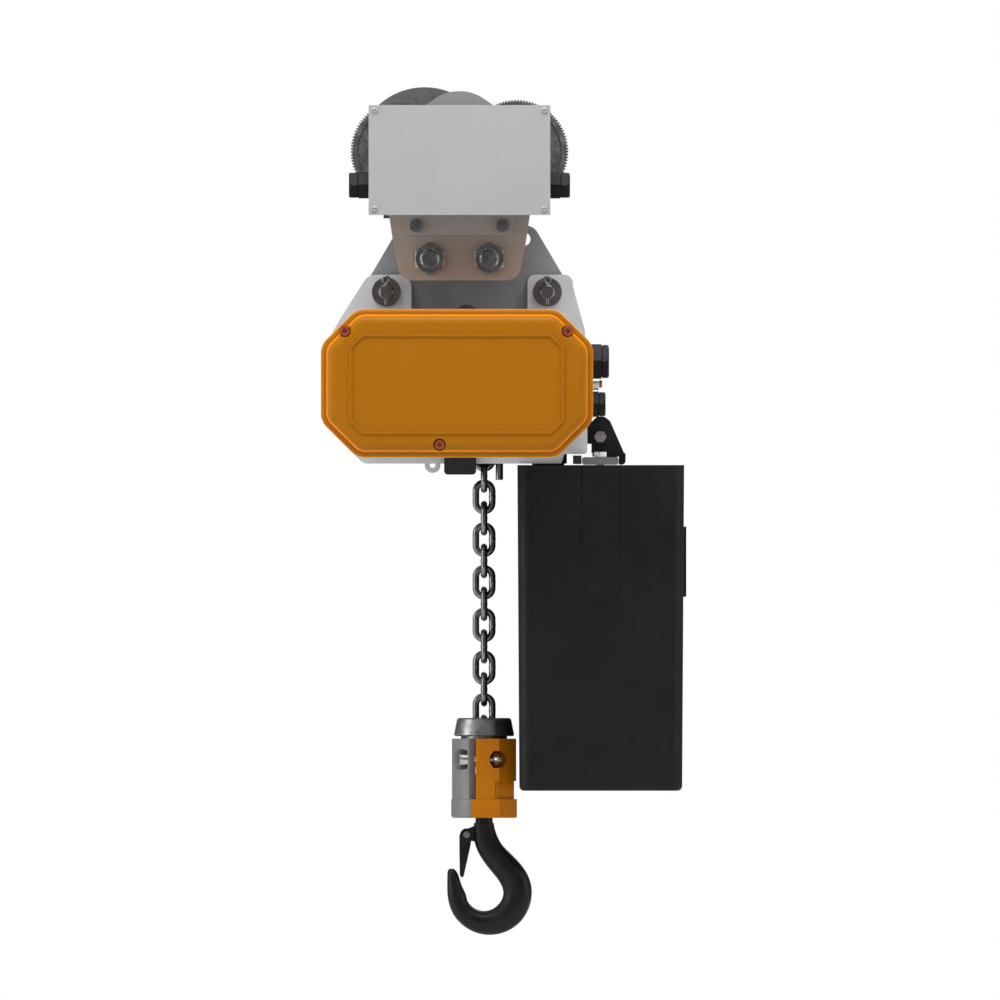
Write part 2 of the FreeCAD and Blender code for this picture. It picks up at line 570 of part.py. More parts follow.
def gland(flats, start, cap, end, across, up, outward, neck):
    """A cable gland along X: a threaded neck, a hexagon body and a domed hexagon cap with the cable's hole."""
    def run(first, last):
        return (f"{outward}*({first})", f"{outward}*({last})") if outward > 0 else (f"-({last})", f"-({first})")
    dome = [(0, 0), (f"{flats}*0.57", 0), (f"{flats}*0.57", f"{end}-({cap})-4.5"),
            (f"{flats}*0.52", f"{end}-({cap})-1.8"), (f"{flats}*0.42", f"{end}-({cap})"), (0, f"{end}-({cap})")]
    if outward < 0:
        dome = [(r, f"-({d})") for r, d in reversed(dome)]
    rounded = common(hexagon(f"{flats}-1.5", *run(cap, end), across, up, "x"),
                     turned(dome, f"{outward}*({cap})", across, up, "x"))
    body = common(hexagon(flats, *run(start, f"{cap}-0.8"), across, up, "x"),
                  rod(f"{flats}*0.565", *run(start, f"{cap}-0.8"), across, up, "x"))
    waist = rod(f"{flats}*0.46", *run(f"{cap}-1", f"{cap}+0.2"), across, up, "x")
    thread = rod(neck, *run(f"{start}-3", f"{start}+1"), across, up, "x")
    return cut(fuse(rounded, body, waist, thread),
               rod("cable_hole", *run(f"{start}-4", f"{end}+1"), across, up, "x"))


def cable_inlets():
    """Two glands on the trolley box and two on the hoist's right side."""
    middle = "(box_front+box_back)/2"
    glands = [gland("gland_flats", "box_half", "gland_cap", "gland_reach", middle, "gland_z", side,
                    "gland_neck") for side in (-1, 1)]
    glands.append(gland("big_flats", "inlet_face", "big_cap", "big_reach", "inlet_y", "big_z", 1, "big_neck-0.05"))
    glands.append(gland("small_flats", "inlet_face", "small_cap", "small_reach", "inlet_y", "small_z", 1,
                        "small_neck-0.05"))
    piece(group(*glands), "cable_inlets")


# ---------------------------------------------------------------- suspension
PINS = ("hang_x-pin_half_span", "hang_x+pin_half_span")


def suspension():
    right = [("hang_x+101", "hang_bottom"), ("hang_x+103", -92), ("hang_x+69.5", "hang_top")]
    left = [(a.replace("hang_x+", "hang_x-"), b) for a, b in reversed(right)]
    outline = right + left
    rounds = {0: 15, 1: 14, 2: 14, 3: 14, 4: 14, 5: 15}
    holes = [(x, "tie_z", "axle_radius+0.05") for x in ("tie_x", "-tie_x")]
    holes += [(x, "pin_z", "pin_radius+0.05") for x in PINS]
    holes += [("eye_x", "eye_z", "eye_radius"), ("2*hang_x-eye_x", "eye_z", "eye_radius")]
    plate = profile(outline, "-hang_half", "hang_half", rounds=rounds, holes=holes)
    notch = rod(12.5, "-hang_half-1", "hang_half+1", "hang_x", "hang_bottom-6.5")
    piece(cut(plate, notch), "suspension_plate")
    pins, keepers = [], []
    for x in PINS:
        bolt = fuse(chamfered_rod("pin_radius", "-ear_outer-13", "ear_outer", x, "pin_z", bevel=1.8),
                    rod("pin_radius+4", "ear_outer", "ear_outer+6", x, "pin_z"))
        pins.append(cut(bolt, rod(1.9, "pin_z-20", "pin_z+20", x, "-ear_outer-8", "z")))
        keepers.append(ring("pin_radius+0.2", "washer_radius", "-ear_outer-washer_thick", "-ear_outer", x, "pin_z"))
        keepers.append(cotter(x, "-ear_outer-8"))
    piece(group(*pins), "suspension_pins")
    piece(group(*keepers), "pin_washers_and_cotters")


def cotter(x, y):
    """A split pin: a straight double leg with a round eye above and one bent end below."""
    leg = rod(1.8, "pin_z-13", "pin_z+9.5", x, y, "z")
    eye = doc.addObject("Part::Torus", "Eye")
    bind(eye, Radius1=3.2, Radius2=1.3)
    place(eye, x, y, "pin_z+12.5", ALONG_Y)
    return fuse(leg, eye)


# ---------------------------------------------------------------- castings and covers
def octagon(inset=0):
    """Corner points of the cover outline, drawn in by an inset, starting at the lower left."""
    left, right = f"cover_left+({inset})", f"cover_right-({inset})"
    low, high = f"cover_bottom+({inset})", f"cover_top-({inset})"
    bevel = f"(cover_cut-0.5858*({inset}))"
    return [(f"{left}+{bevel}", low), (f"{right}-{bevel}", low), (right, f"{low}+{bevel}"),
            (right, f"{high}-{bevel}"), (f"{right}-{bevel}", high), (f"{left}+{bevel}", high),
            (left, f"{high}-{bevel}"), (left, f"{low}+{bevel}")]


def octagonal(inset, low, high, radius="cover_round"):
    return profile(octagon(inset), low, high, rounds={i: f"{radius}-({inset})*0.5" for i in range(8)})


MID_SPAN = "((load_x-motor_x)^2+(load_z-motor_z)^2)"
FIRST_REACH = "(fine_module*(pinion_teeth+first_gear_teeth)/2)"
LAST_REACH = "(coarse_module*(pinion_teeth+last_gear_teeth)/2)"
MID_ALONG = f"(({FIRST_REACH}^2-{LAST_REACH}^2+{MID_SPAN})/2/{MID_SPAN})"
MID_ASIDE = f"(sqrt({FIRST_REACH}^2-{MID_ALONG}^2*{MID_SPAN})/sqrt({MID_SPAN}))"
MID_X = f"(motor_x+{MID_ALONG}*(load_x-motor_x)-{MID_ASIDE}*(load_z-motor_z))"
MID_Z = f"(motor_z+{MID_ALONG}*(load_z-motor_z)+{MID_ASIDE}*(load_x-motor_x))"
SLACK_X = "(2*load_x-chain_x)"


def housing():
    right_foot = [(-100, "housing_bottom"), (106, "housing_bottom"), (109, "corner_bottom"),
                  (133, "corner_bottom"), (133, -196), (130.5, -144)]
    outline = right_foot + [(118, -98), (118, "ear_top"), (70.8, "ear_top"), (70.8, -128), (-50, -128),
                            (-50, "ear_top"), (-95, "ear_top"), (-123, -130), (-139, -158), (-139, -243)]
    block = profile(outline, "-ear_outer", "ear_outer",
                    rounds={0: 10, 3: 4, 7: 9, 8: 8, 11: 13, 12: 14, 14: 16, 15: 16})
    low_shape = right_foot + [(112, -126), (-112, -126), (-139, -158), (-139, -243)]
    flanges = [profile(low_shape, low, high, rounds={0: 10, 3: 4, 5: 12, 6: 12, 7: 12, 8: 16, 9: 16})
               for low, high in (("housing_front", "-ear_outer"), ("ear_outer", "housing_rear"))]
    saddle = box(("hang_x-16", "hang_x+16"), (15, "ear_outer"), (-131, -116.5))
    lug = rod("tab_outer", -12, -4, "tab_x", "tab_z")
    neck = box(("tab_x-7", "tab_x+7"), (-12, -4), ("housing_bottom-1", -272))
    slots = [box((-110, "hang_x-30"), ("-ear_slot", "ear_slot"), (-127, -80)),
             box(("hang_x+30", 125), ("-ear_slot", "ear_slot"), (-127, -80)),
             box((-60, 80), ("-ear_slot", "ear_slot"), (-130, -120))]
    pin_holes = [rod("pin_radius+0.05", "-ear_outer-1", "ear_outer+1", x, "pin_z") for x in PINS]
    chamber = box((4, 118), (-30, 30), (-262, -138))
    floor = box((6, 112), (-28, 28), ("housing_bottom-1", -261))
    motor_bore = rod(13, "housing_front-1", "housing_rear+1", "motor_x", "motor_z")
    seats = [rod(17.5, "housing_front-1", "housing_front+12", "motor_x", "motor_z"),
             rod(17.5, "housing_rear-12", "housing_rear+1", "motor_x", "motor_z"),
             rod(14, "housing_front-1", "housing_front+10", MID_X, MID_Z),
             rod(26, -62, -29, "load_x", "load_z"), rod(26, 29, 50, "load_x", "load_z"),
             rod("load_shaft+3", "housing_front-1", -61, "load_x", "load_z")]
    hollows = [box((-126, -62), ("housing_front-1", 56), (-262, -146)),
               rod("tab_hole", -13, -3, "tab_x", "tab_z")]
    inlets = (("big_neck", "big_flats", "big_z"), ("small_neck", "small_flats", "small_z"))
    bosses = [rod(f"{flats}*0.62", 122, "inlet_face", "inlet_y", z, "x") for _, flats, z in inlets]
    necks = [rod(bore, 126, "inlet_face+1", "inlet_y", z, "x") for bore, _, z in inlets]
    ducts = [rod("cable_hole", 110, 130, "inlet_y", z, "x") for _, _, z in inlets]
    piece(cut(fuse(block, *flanges, *bosses, saddle, neck, lug),
              *slots, *pin_holes, chamber, floor, motor_bore, *seats, *hollows, *necks, *ducts), "hoist_housing")


def gearbox_and_covers():
    skin = octagonal("casting_inset", "gearbox_front", "housing_front")
    inside = octagonal("casting_inset+casting_wall", "gearbox_front+8", "housing_front")
    holes = [rod("rotor_shaft-3.45", "gearbox_front-1", "gearbox_front+9", "motor_x", "motor_z"),
             rod("mid_shaft+0.05", "gearbox_front+3", "gearbox_front+9", MID_X, MID_Z)]
    piece(cut(skin, inside, *holes), "gearbox_casting")

    cover = cover_shell("cover_front", "gearbox_front-seal_thick", -1)
    screw_spots = [(-119.3, -144.6), (112.6, -144.6), (-20.8, -262.9)]
    recesses = [rod("cover_screw+1.4", "cover_front-1", "cover_front+7", x, z) for x, z in screw_spots]
    shanks = [rod(3.1, "cover_front", "gearbox_front-seal_thick", x, z) for x, z in screw_spots]
    towers = [rod(7, "cover_front+8", "gearbox_front-seal_thick", x, z) for x, z in screw_spots]
    ridge = raised_frame("cover_front-1.3", "cover_front+1")
    front = cut(fuse(cover, *[common(t, octagonal(1, "cover_front", "gearbox_front")) for t in towers], ridge),
                *recesses, *shanks)
    piece(front, "front_cover")
    rear_cover = cover_shell("rear_end", "motor_end+seal_thick", 1)
    rear_recess = [rod("cover_screw+1.4", "rear_end-7", "rear_end+1", x, z) for x, z in screw_spots]
    rear_shanks = [rod(3.1, "motor_end", "rear_end", x, z) for x, z in screw_spots]
    rear_towers = [common(rod(7, "motor_end+seal_thick", "rear_end-8", x, z), octagonal(1, "motor_end", "rear_end"))
                   for x, z in screw_spots]
    piece(cut(fuse(rear_cover, *rear_towers), *rear_recess, *rear_shanks), "rear_cover")

    seals = []
    for low, high in (("gearbox_front-seal_thick", "gearbox_front"), ("motor_end", "motor_end+seal_thick")):
        holes = [rod(3.2, low, high, x, z) for x, z in screw_spots]
        seals.append(cut(octagonal(1.5, low, high), octagonal(16, low, high), *holes))
    piece(group(*seals), "cover_seals")

    screws = [cap_screw("cover_screw", 6, 3, "cover_front+7", "gearbox_front-0.2", x, z, -1) for x, z in screw_spots]
    screws += [cap_screw("cover_screw", 6, 3, "rear_end-7", "motor_end+0.2", x, z, 1) for x, z in screw_spots]
    piece(group(*screws), "cover_screws")


def cap_screw(head_radius, head, radius, face, end, x, z, outward):
    """A socket head screw along Y: the head stands on the face and has a hexagon socket."""
    if outward < 0:
        head_ends, shank_ends = (f"({face})-{head}", face), (face, end)
        socket = (f"({face})-{head}-1", f"({face})-{head}+3")
    else:
        head_ends, shank_ends = (face, f"({face})+{head}"), (end, face)
        socket = (f"({face})+{head}-3", f"({face})+{head}+1")
    solid = fuse(rod(head_radius, *head_ends, x, z), rod(radius, *shank_ends, x, z))
    return cut(solid, hexagon(5, *socket, x, z))


def cover_shell(face, back, outward):
    """An octagonal cover: a raised field with a round edge on a stepped rim, hollow behind."""
    def plane(depth):
        return f"{face}-({outward})*({depth})"

    def slab(inset, first, last):
        return octagonal(inset, *sorted((first, last), key=value))

    def round_off(body, length, radius):
        """Rounds the outer edges of a slab, which stands from -length to 0 in its own frame."""
        doc.recompute()
        level = -length if outward < 0 else 0
        dress(body, lambda edge: all(abs(v.Point.y - level) < 1e-4 for v in edge.Vertexes), radius)
        return body

    rim_face = plane("panel_step")
    rim = round_off(slab(0, rim_face, back), abs(value(rim_face) - value(back)), 4)
    field = round_off(slab("rim_band", face, plane("panel_step+6")), value("panel_step+6"), "field_round")
    hollow = slab("rim_band+cover_wall", plane("panel_step-2.5"), back)
    return cut(fuse(rim, field), hollow)


def raised_frame(low, high):
    """A thin raised line around the cover's flat field, with bevelled corners."""
    def frame(inset):
        left, right, bottom, top = f"-114.7+{inset}", f"108.9-{inset}", f"-251.8+{inset}", f"-147.8-{inset}"
        bevel = f"(13.5-0.5858*{inset})"
        return [(f"{left}+{bevel}", bottom), (f"{right}-{bevel}", bottom), (right, f"{bottom}+{bevel}"),
                (right, f"{top}-{bevel}"), (f"{right}-{bevel}", top), (f"{left}+{bevel}", top),
                (left, f"{top}-{bevel}"), (left, f"{bottom}+{bevel}")]
    return cut(profile(frame(0), low, high), profile(frame(2.6), low, high))


def motor():
    core = octagonal("fin_deep+casting_inset", "housing_rear", "motor_end")
    doc.recompute()
    fin = doc.addObject("PartDesign::Body", "Fins")
    pad = fin.newObject("PartDesign::Pad", "Fin")
    pad.Profile = draw(fin, "XZ_Plane", octagon("casting_inset"))
    bind(pad, Length="fin_thick")
    doc.recompute()
    names = [name for name, _, _ in upright_edges(fin, "XZ_Plane")]
    fillet_edges(fin, names, "cover_round")
    rows = fin.newObject("PartDesign::LinearPattern", "Rows")
    rows.Originals = [pad]
    fillet = fin.Group[-2]
    rows.Originals = [pad, fillet]
    rows.Direction = (body_plane(fin, "XZ_Plane"), [""])
    bind(rows, Length="motor_end-housing_rear-fin_thick", Occurrences="fin_count")
    fin.Tip = rows
    place(fin, 0, "motor_end", 0)
    ends = [octagonal("casting_inset", "housing_rear", "housing_rear+8"),
            octagonal("casting_inset", "motor_end-8", "motor_end")]
    bore = rod("stator_radius+0.1", "housing_rear-1", "motor_end-14", "motor_x", "motor_z")
    back = rod("rotor_shaft+8.6", "motor_end-16", "motor_end+1", "motor_x", "motor_z")
    side_room = box((36, 122), ("housing_rear-1", "motor_end-14"), (-256, -146))
    piece(cut(fuse(core, fin, *ends), bore, back, side_room), "motor_housing")

    spot = ("motor_x", "motor_z")
    stator = ring("rotor_radius+1", "stator_radius", "rotor_start-4", "rotor_end+4", *spot)
    spin = meshing_phase(value("first_gear_teeth"), 0, value("pinion_teeth"),
                         math.atan2(value("motor_z") - value(MID_Z), value("motor_x") - value(MID_X)))
    pinion = gear("pinion_teeth", "fine_module", spin, "first_start-1", "first_start+first_width+1", *spot)
    shaft = fuse(pinion, rod("rotor_shaft-3.5", "gearbox_front+2", "first_start+2", *spot),
                 rod("rotor_shaft", -101, 218, *spot),
                 rod("rotor_radius", "rotor_start", "rotor_end", *spot),
                 rod("rotor_radius-12", "rotor_start-6", "rotor_end+6", *spot))
    piece(shaft, "motor_rotor")
    piece(fuse(ring("rotor_shaft", 16, 198, 214, *spot), ring("rotor_shaft", 48, 203, 208, *spot)), "brake_disc")
    piece(ring(20, 50, "motor_end+seal_thick+0.3", 201, *spot), "brake_coil")
    return stator


def gear_train():
    mid = (MID_X, MID_Z)
    big = gear("first_gear_teeth", "fine_module", 0, "first_start", "first_start+first_width", *mid)
    small = gear("pinion_teeth", "coarse_module", 0, "last_start", "last_start+last_width", *mid)
    shaft = rod("mid_shaft", "gearbox_front+3.5", "housing_front+9.5", *mid)
    holes = [rod(7, "first_start-1", "first_start+first_width+1", f"{MID_X}+{26 * math.cos(a):.5f}",
                 f"{MID_Z}+{26 * math.sin(a):.5f}") for a in (math.pi / 3 * (i + 0.5) for i in range(6))]
    piece(fuse(cut(big, *holes), small, shaft), "intermediate_gear")
    direction = math.atan2(value("load_z") - value(MID_Z), value("load_x") - value(MID_X))
    phase = meshing_phase(value("pinion_teeth"), 0, value("last_gear_teeth"), direction)
    load = ("load_x", "load_z")
    rim = gear("last_gear_teeth", "coarse_module", phase, "last_start", "last_start+last_width-1", *load)
    lightening = [rod(8, "last_start-1", "last_start+last_width", f"load_x+{32 * math.cos(a):.5f}",
                      f"load_z+{32 * math.sin(a):.5f}") for a in (math.pi / 3 * i for i in range(6))]
    piece(cut(rim, rod("load_shaft", "last_start-1", "last_start+last_width+1", *load), *lightening), "output_gear")

    hub = turned([(0, "-wheel_half"), ("flange_radius", "-wheel_half"), ("flange_radius", "-link_lane"),
                  ("seat_radius", "-link_lane"), ("seat_radius", "-groove_half"), ("groove_radius", "-groove_half"),
                  ("groove_radius", "groove_half"), ("seat_radius", "groove_half"), ("seat_radius", "link_lane"),
                  ("flange_radius", "link_lane"), ("flange_radius", "wheel_half"), (0, "wheel_half")], 0, *load)
    lugs = []
    for i in range(int(value("pockets"))):
        degrees = 72 * i
        for low, high in (("groove_half", "link_lane+0.1"), ("-link_lane-0.1", "-groove_half")):
            lugs.append(polar_box(2 * value("lug_half"), low, high, "groove_radius+2", "lug_reach", degrees, *load))
    shaft = rod("load_shaft", -101, 49.5, *load)
    piece(fuse(hub, shaft, *lugs), "load_wheel")

    spot = ("motor_x", "motor_z")
    rings = [bearing("rotor_shaft+0.03", 17.5, "housing_front", "housing_front+12", *spot),
             bearing("rotor_shaft+0.03", 17.5, "housing_rear-12", "housing_rear", *spot),
             bearing("rotor_shaft+0.03", 17.6, "motor_end-12", "motor_end-1", *spot),
             bearing("mid_shaft+0.03", 14, "housing_front", "housing_front+10", *mid),
             bearing("load_shaft+0.03", 26, -60, -46, *load), bearing("load_shaft+0.03", 26, 34, 48, *load)]
    return rings


# ---------------------------------------------------------------- chain
def chain_link(name="ChainLink"):
    """One round-wire link that stands in the XZ plane, centred on the origin."""
    bow_z = "inner_half-inner_wide/2"
    side_x = "(inner_wide+wire)/2"
    sides = [rod("wire/2", f"-({bow_z})", bow_z, x, 0, "z") for x in (side_x, f"-{side_x}")]
    bows = []
    for height, degrees in ((bow_z, 90), (f"-({bow_z})", -90)):
        bow = bind(doc.addObject("Part::Torus", "Bow"), Radius1=side_x, Radius2="wire/2")
        bow.Angle3 = 180
        bows.append(place(bow, 0, 0, height, Rotation(Vector(1, 0, 0), degrees)))
    link = doc.addObject("Part::MultiFuse", name)
    link.Shapes = sides + bows
    return link


def link_at(link, x, y, z, turn):
    copy = doc.addObject("App::Link", "Link")
    copy.LinkedObject = link
    copy.Placement = Placement(Vector(x, y, z), turn)
    return copy


EDGE_ON = Rotation(Vector(0, 0, 1), 90)


def straight_links(link, first, last):
    """Links of the load run, numbered downwards; even numbers stand edge on to the front."""
    return [link_at(link, value("chain_x"), 0, value(f"first_link-{n}*pitch"), UPRIGHT if n % 2 else EDGE_ON)
            for n in range(first, last + 1)]


def chains():
    link = chain_link()
    doc.recompute()
    piece(group(*straight_links(link, -3, 10)), "load_chain")
    piece(group(*straight_links(link, 11, 13)), "block_links")

    # the wrapped links lie on a ten-sided ring round the load wheel
    slack = []
    radius = value("pitch") / 2 / math.tan(math.radians(18))
    for i, degrees in enumerate((180, 144, 108, 72, 36)):
        angle = math.radians(degrees)
        spin = Rotation(Vector(0, 1, 0), -degrees) * (UPRIGHT if i % 2 else EDGE_ON)
        slack.append(link_at(link, value("load_x") + radius * math.cos(angle), 0,
                             value("load_z") + radius * math.sin(angle), spin))
    for i in range(int(value("hanging_links"))):
        slack.append(link_at(link, value(SLACK_X), 0, value("load_z") - i * value("pitch"),
                             EDGE_ON if i % 2 else UPRIGHT))
    # five rows of links lie on the container's floor
    floor = value("container_bottom+container_wall+pile_height")
    for row in range(5):
        for i in range(-2, 3):
            turn = Rotation(Vector(1, 0, 0), 90) * Rotation(Vector(0, 0, 1), 45 if i % 2 else -45)
            slack.append(link_at(link, value("pile_x") + value("pile_step") * row, value("pitch") * i, floor, turn))
    piece(group(*slack), "slack_chain")


def chain_fittings():
    cross = []
    for x in ("chain_x", SLACK_X):
        for half_x, half_y in (("4.6", "13"), ("13", "4.6")):
            cross.append(box((f"{x}-{half_x}", f"{x}+{half_x}"), (f"-{half_y}", half_y), (-290, -250)))
    guide = fuse(box((6.3, 111.7), (-27.7, 27.7), ("housing_bottom", -262.3)),
                 box((75.6, 109), (-17, 17), ("housing_bottom-2", "housing_bottom")),
                 box((10, 42), (-17, 17), ("housing_bottom-1.2", "housing_bottom")))
    guide = cut(guide, *cross, rod("rod_radius+0.05", -290, -250, "rod_x", "rod_y", "z"))
    piece(guide, "chain_guide")

    low, high = "stop_bottom", "housing_bottom-0.2"
    stop = fuse(profile([("stop_left", low), ("stop_right", low), ("stop_right", high), ("stop_left", high)],
                        -78, -29, rounds={0: 4, 1: 4}),
                profile([("stop_left", low), (5, low), (5, high), ("stop_left", high)], -30, 4.5, rounds={0: 4, 1: 4}),
                box(("stop_left", "stop_right"), (-78, -70.3), ("housing_bottom-1", -276.6)))
    bumper = box((118, 127), (-77, -70.3), (-283, -274))
    piece(group(stop, bumper), "rubber_stops")

    rod_body = fuse(chamfered_rod("rod_radius", "rod_end", -251, "rod_x", "rod_y", "z", 0.8),
                    rod("rod_radius+2.4", -262, -258.5, "rod_x", "rod_y", "z"))
    piece(rod_body, "limit_rod")
    case = box((30, 53), (-29.6, -18.5), (-243.5, -219))
    piece(fuse(case, rod(2, -29.9, -29, 35, -225), rod(2, -29.9, -29, 48, -237)), "limit_switch")


def electrics():
    """Mounting plate, three contactors and a transformer inside the front cover."""
    plate = box((-110, 104), (-136, -133.5), (-250, -148))
    blocks = [plate]
    for x in (-96, -50, -4):
        low = box((x, x + 40), (-168, -136), (-240, -170))
        high = box((x + 6, x + 34), (-182, -168), (-222, -188))
        blocks += [low, high]
    blocks.append(box((46, 98), (-180, -136), (-236, -172)))
    blocks.append(box((-96, 96), (-148, -136), (-164, -152)))
    return [fuse(*blocks)]


# ---------------------------------------------------------------- container
def tapered_block(corners, tall, corner_radius):
    """A block that hangs from the container's top and narrows downwards, with round upright edges."""
    body = doc.addObject("PartDesign::Body", "Tapered")
    pad = body.newObject("PartDesign::Pad", "Pad")
    pad.Profile = draw(body, "XY_Plane", corners)
    bind(pad, Length=tall, TaperAngle="-container_taper")
    pad.Reversed = True
    doc.recompute()
    names = [f"Edge{n}" for n, edge in enumerate(body.Tip.Shape.Edges, 1)
             if abs(edge.Vertexes[0].Z - edge.Vertexes[-1].Z) > 100]
    fillet_edges(body, names, corner_radius)
    return place(body, 0, 0, "container_top")


def container():
    corners = [("container_left", "-container_half"), ("container_right", "-container_half"),
               ("container_right", "container_half"), ("container_left", "container_half")]
    tall = "container_top-container_bottom"
    outside = tapered_block(corners, tall, "container_corner")
    low = -value(tall)
    dress(outside, lambda edge: all(abs(v.Z - low) < 1e-3 for v in edge.Vertexes), 5)
    inner = [("container_left+container_wall", "-container_half+container_wall"),
             ("container_right-container_wall", "-container_half+container_wall"),
             ("container_right-container_wall", "container_half-container_wall"),
             ("container_left+container_wall", "container_half-container_wall")]
    inside = tapered_block(inner, f"{tall}-container_wall", "container_corner-container_wall")
    handle = box(("container_right-4", "container_right+2.2"), (-34, 34), (-421, -348))
    grooves = [box((x, x + 1.2), ("-container_half-3", "-container_half+1.1"), ("container_bottom-1", -283))
               for x in (126.6, 166)]
    lugs = [box(("hanger_x-14", "hanger_x+14"), ends, (-308, "container_top"))
            for ends in (("-container_half+2", "-container_half+16"), ("container_half-16", "container_half-2"))]
    bolt_holes = [rod(4.05, -310, -283, "hanger_x", y, "z") for y in ("-container_half+9", "container_half-9")]
    shell = cut(fuse(outside, handle), inside, *grooves)
    piece(cut(fuse(shell, *lugs), *bolt_holes), "chain_container")


def container_hanger():
    inner = "hanger_half-hanger_sheet"
    wing = [(137.2, -271.5), (171.3, -271.5), (156.6, -238), (150.5, -233.4), (143, -233.4), (137.2, -239.5)]
    wings = [profile(wing, low, high, rounds={2: 6, 3: 6, 4: 6, 5: 5})
             for low, high in (("-hanger_half", f"-({inner})"), (inner, "hanger_half"))]
    lip = profile([(165.6, -283.6), (172.8, -283.6), (172.8, -272), (170, -270.5), (165.6, -270.5)],
                  "-hanger_half", "hanger_half", rounds={1: 4})
    back = box((133, 138), ("-hanger_half", "hanger_half"), (-262, -238))
    link = box((137, 140.5), ("-hanger_half", "hanger_half"), (-262, -241))
    foot = box((138.2, 169), ("-hanger_half", "hanger_half"), (-275.2, -270.5))
    bores = [rod(4.1, "-hanger_half-1", "hanger_half+1", "hanger_x", "hanger_z"),
             rod(4.1, -276, -269, "hanger_x+12", 12, "z"), rod(4.1, -276, -269, "hanger_x+12", -12, "z")]
    piece(cut(fuse(back, link, foot, lip, *wings), *bores), "container_bracket")
    bar = profile([("hanger_x-bar_half", "bar_top-bar_high"), ("hanger_x+bar_half", "bar_top-bar_high"),
                   ("hanger_x+bar_half", "bar_top"), ("hanger_x-bar_half", "bar_top")],
                  "-container_half+0.5", "container_half-0.5", rounds={i: 2.5 for i in range(4)})
    shelf = [box(("hanger_x+4", "hanger_x+18"), (y - 8, y + 8), (-276, -275.2)) for y in (-12, 12)]
    holes = [rod(4.05, -290, -270, "hanger_x", y, "z") for y in ("-container_half+9", "container_half-9")]
    holes += [rod(4.1, -290, -270, "hanger_x+12", y, "z") for y in (-12, 12)]
    piece(cut(fuse(bar, *shelf), *holes), "container_bar")
    long_bolt = hex_bolt(11.3, 5.3, 4, "-hanger_half", "hanger_half+8", "hanger_x", "hanger_z", -1, spin=0)
    nut = hex_nut(13, "hanger_half", "hanger_half+6.5", 4, "hanger_x", "hanger_z")
    down = []
    for y in ("-container_half+9", "container_half-9"):
        down.append(fuse(hexagon(13, "bar_top", "bar_top+5.3", "hanger_x", y, "z"),
                         rod(4, -306, "bar_top", "hanger_x", y, "z")))
    for y in (-12, 12):
        down.append(fuse(hexagon(13, -270.5, -265.2, "hanger_x+12", y, "z"),
                         rod(4, -283.2, -270.5, "hanger_x+12", y, "z")))
    piece(group(long_bolt, nut, *down), "container_bolts")


# ---------------------------------------------------------------- hook block
def block_octagon(inset):
    half, flat = f"(block_half-({inset}))", f"(block_flat-({inset})*0.4142)"
    corners = [(flat, f"-{half}"), (half, f"-{flat}"), (half, flat), (flat, half),
               (f"-{flat}", half), (f"-{half}", flat), (f"-{half}", f"-{flat}"), (f"-{flat}", f"-{half}")]
    return [(f"chain_x+{a}", b) for a, b in corners]


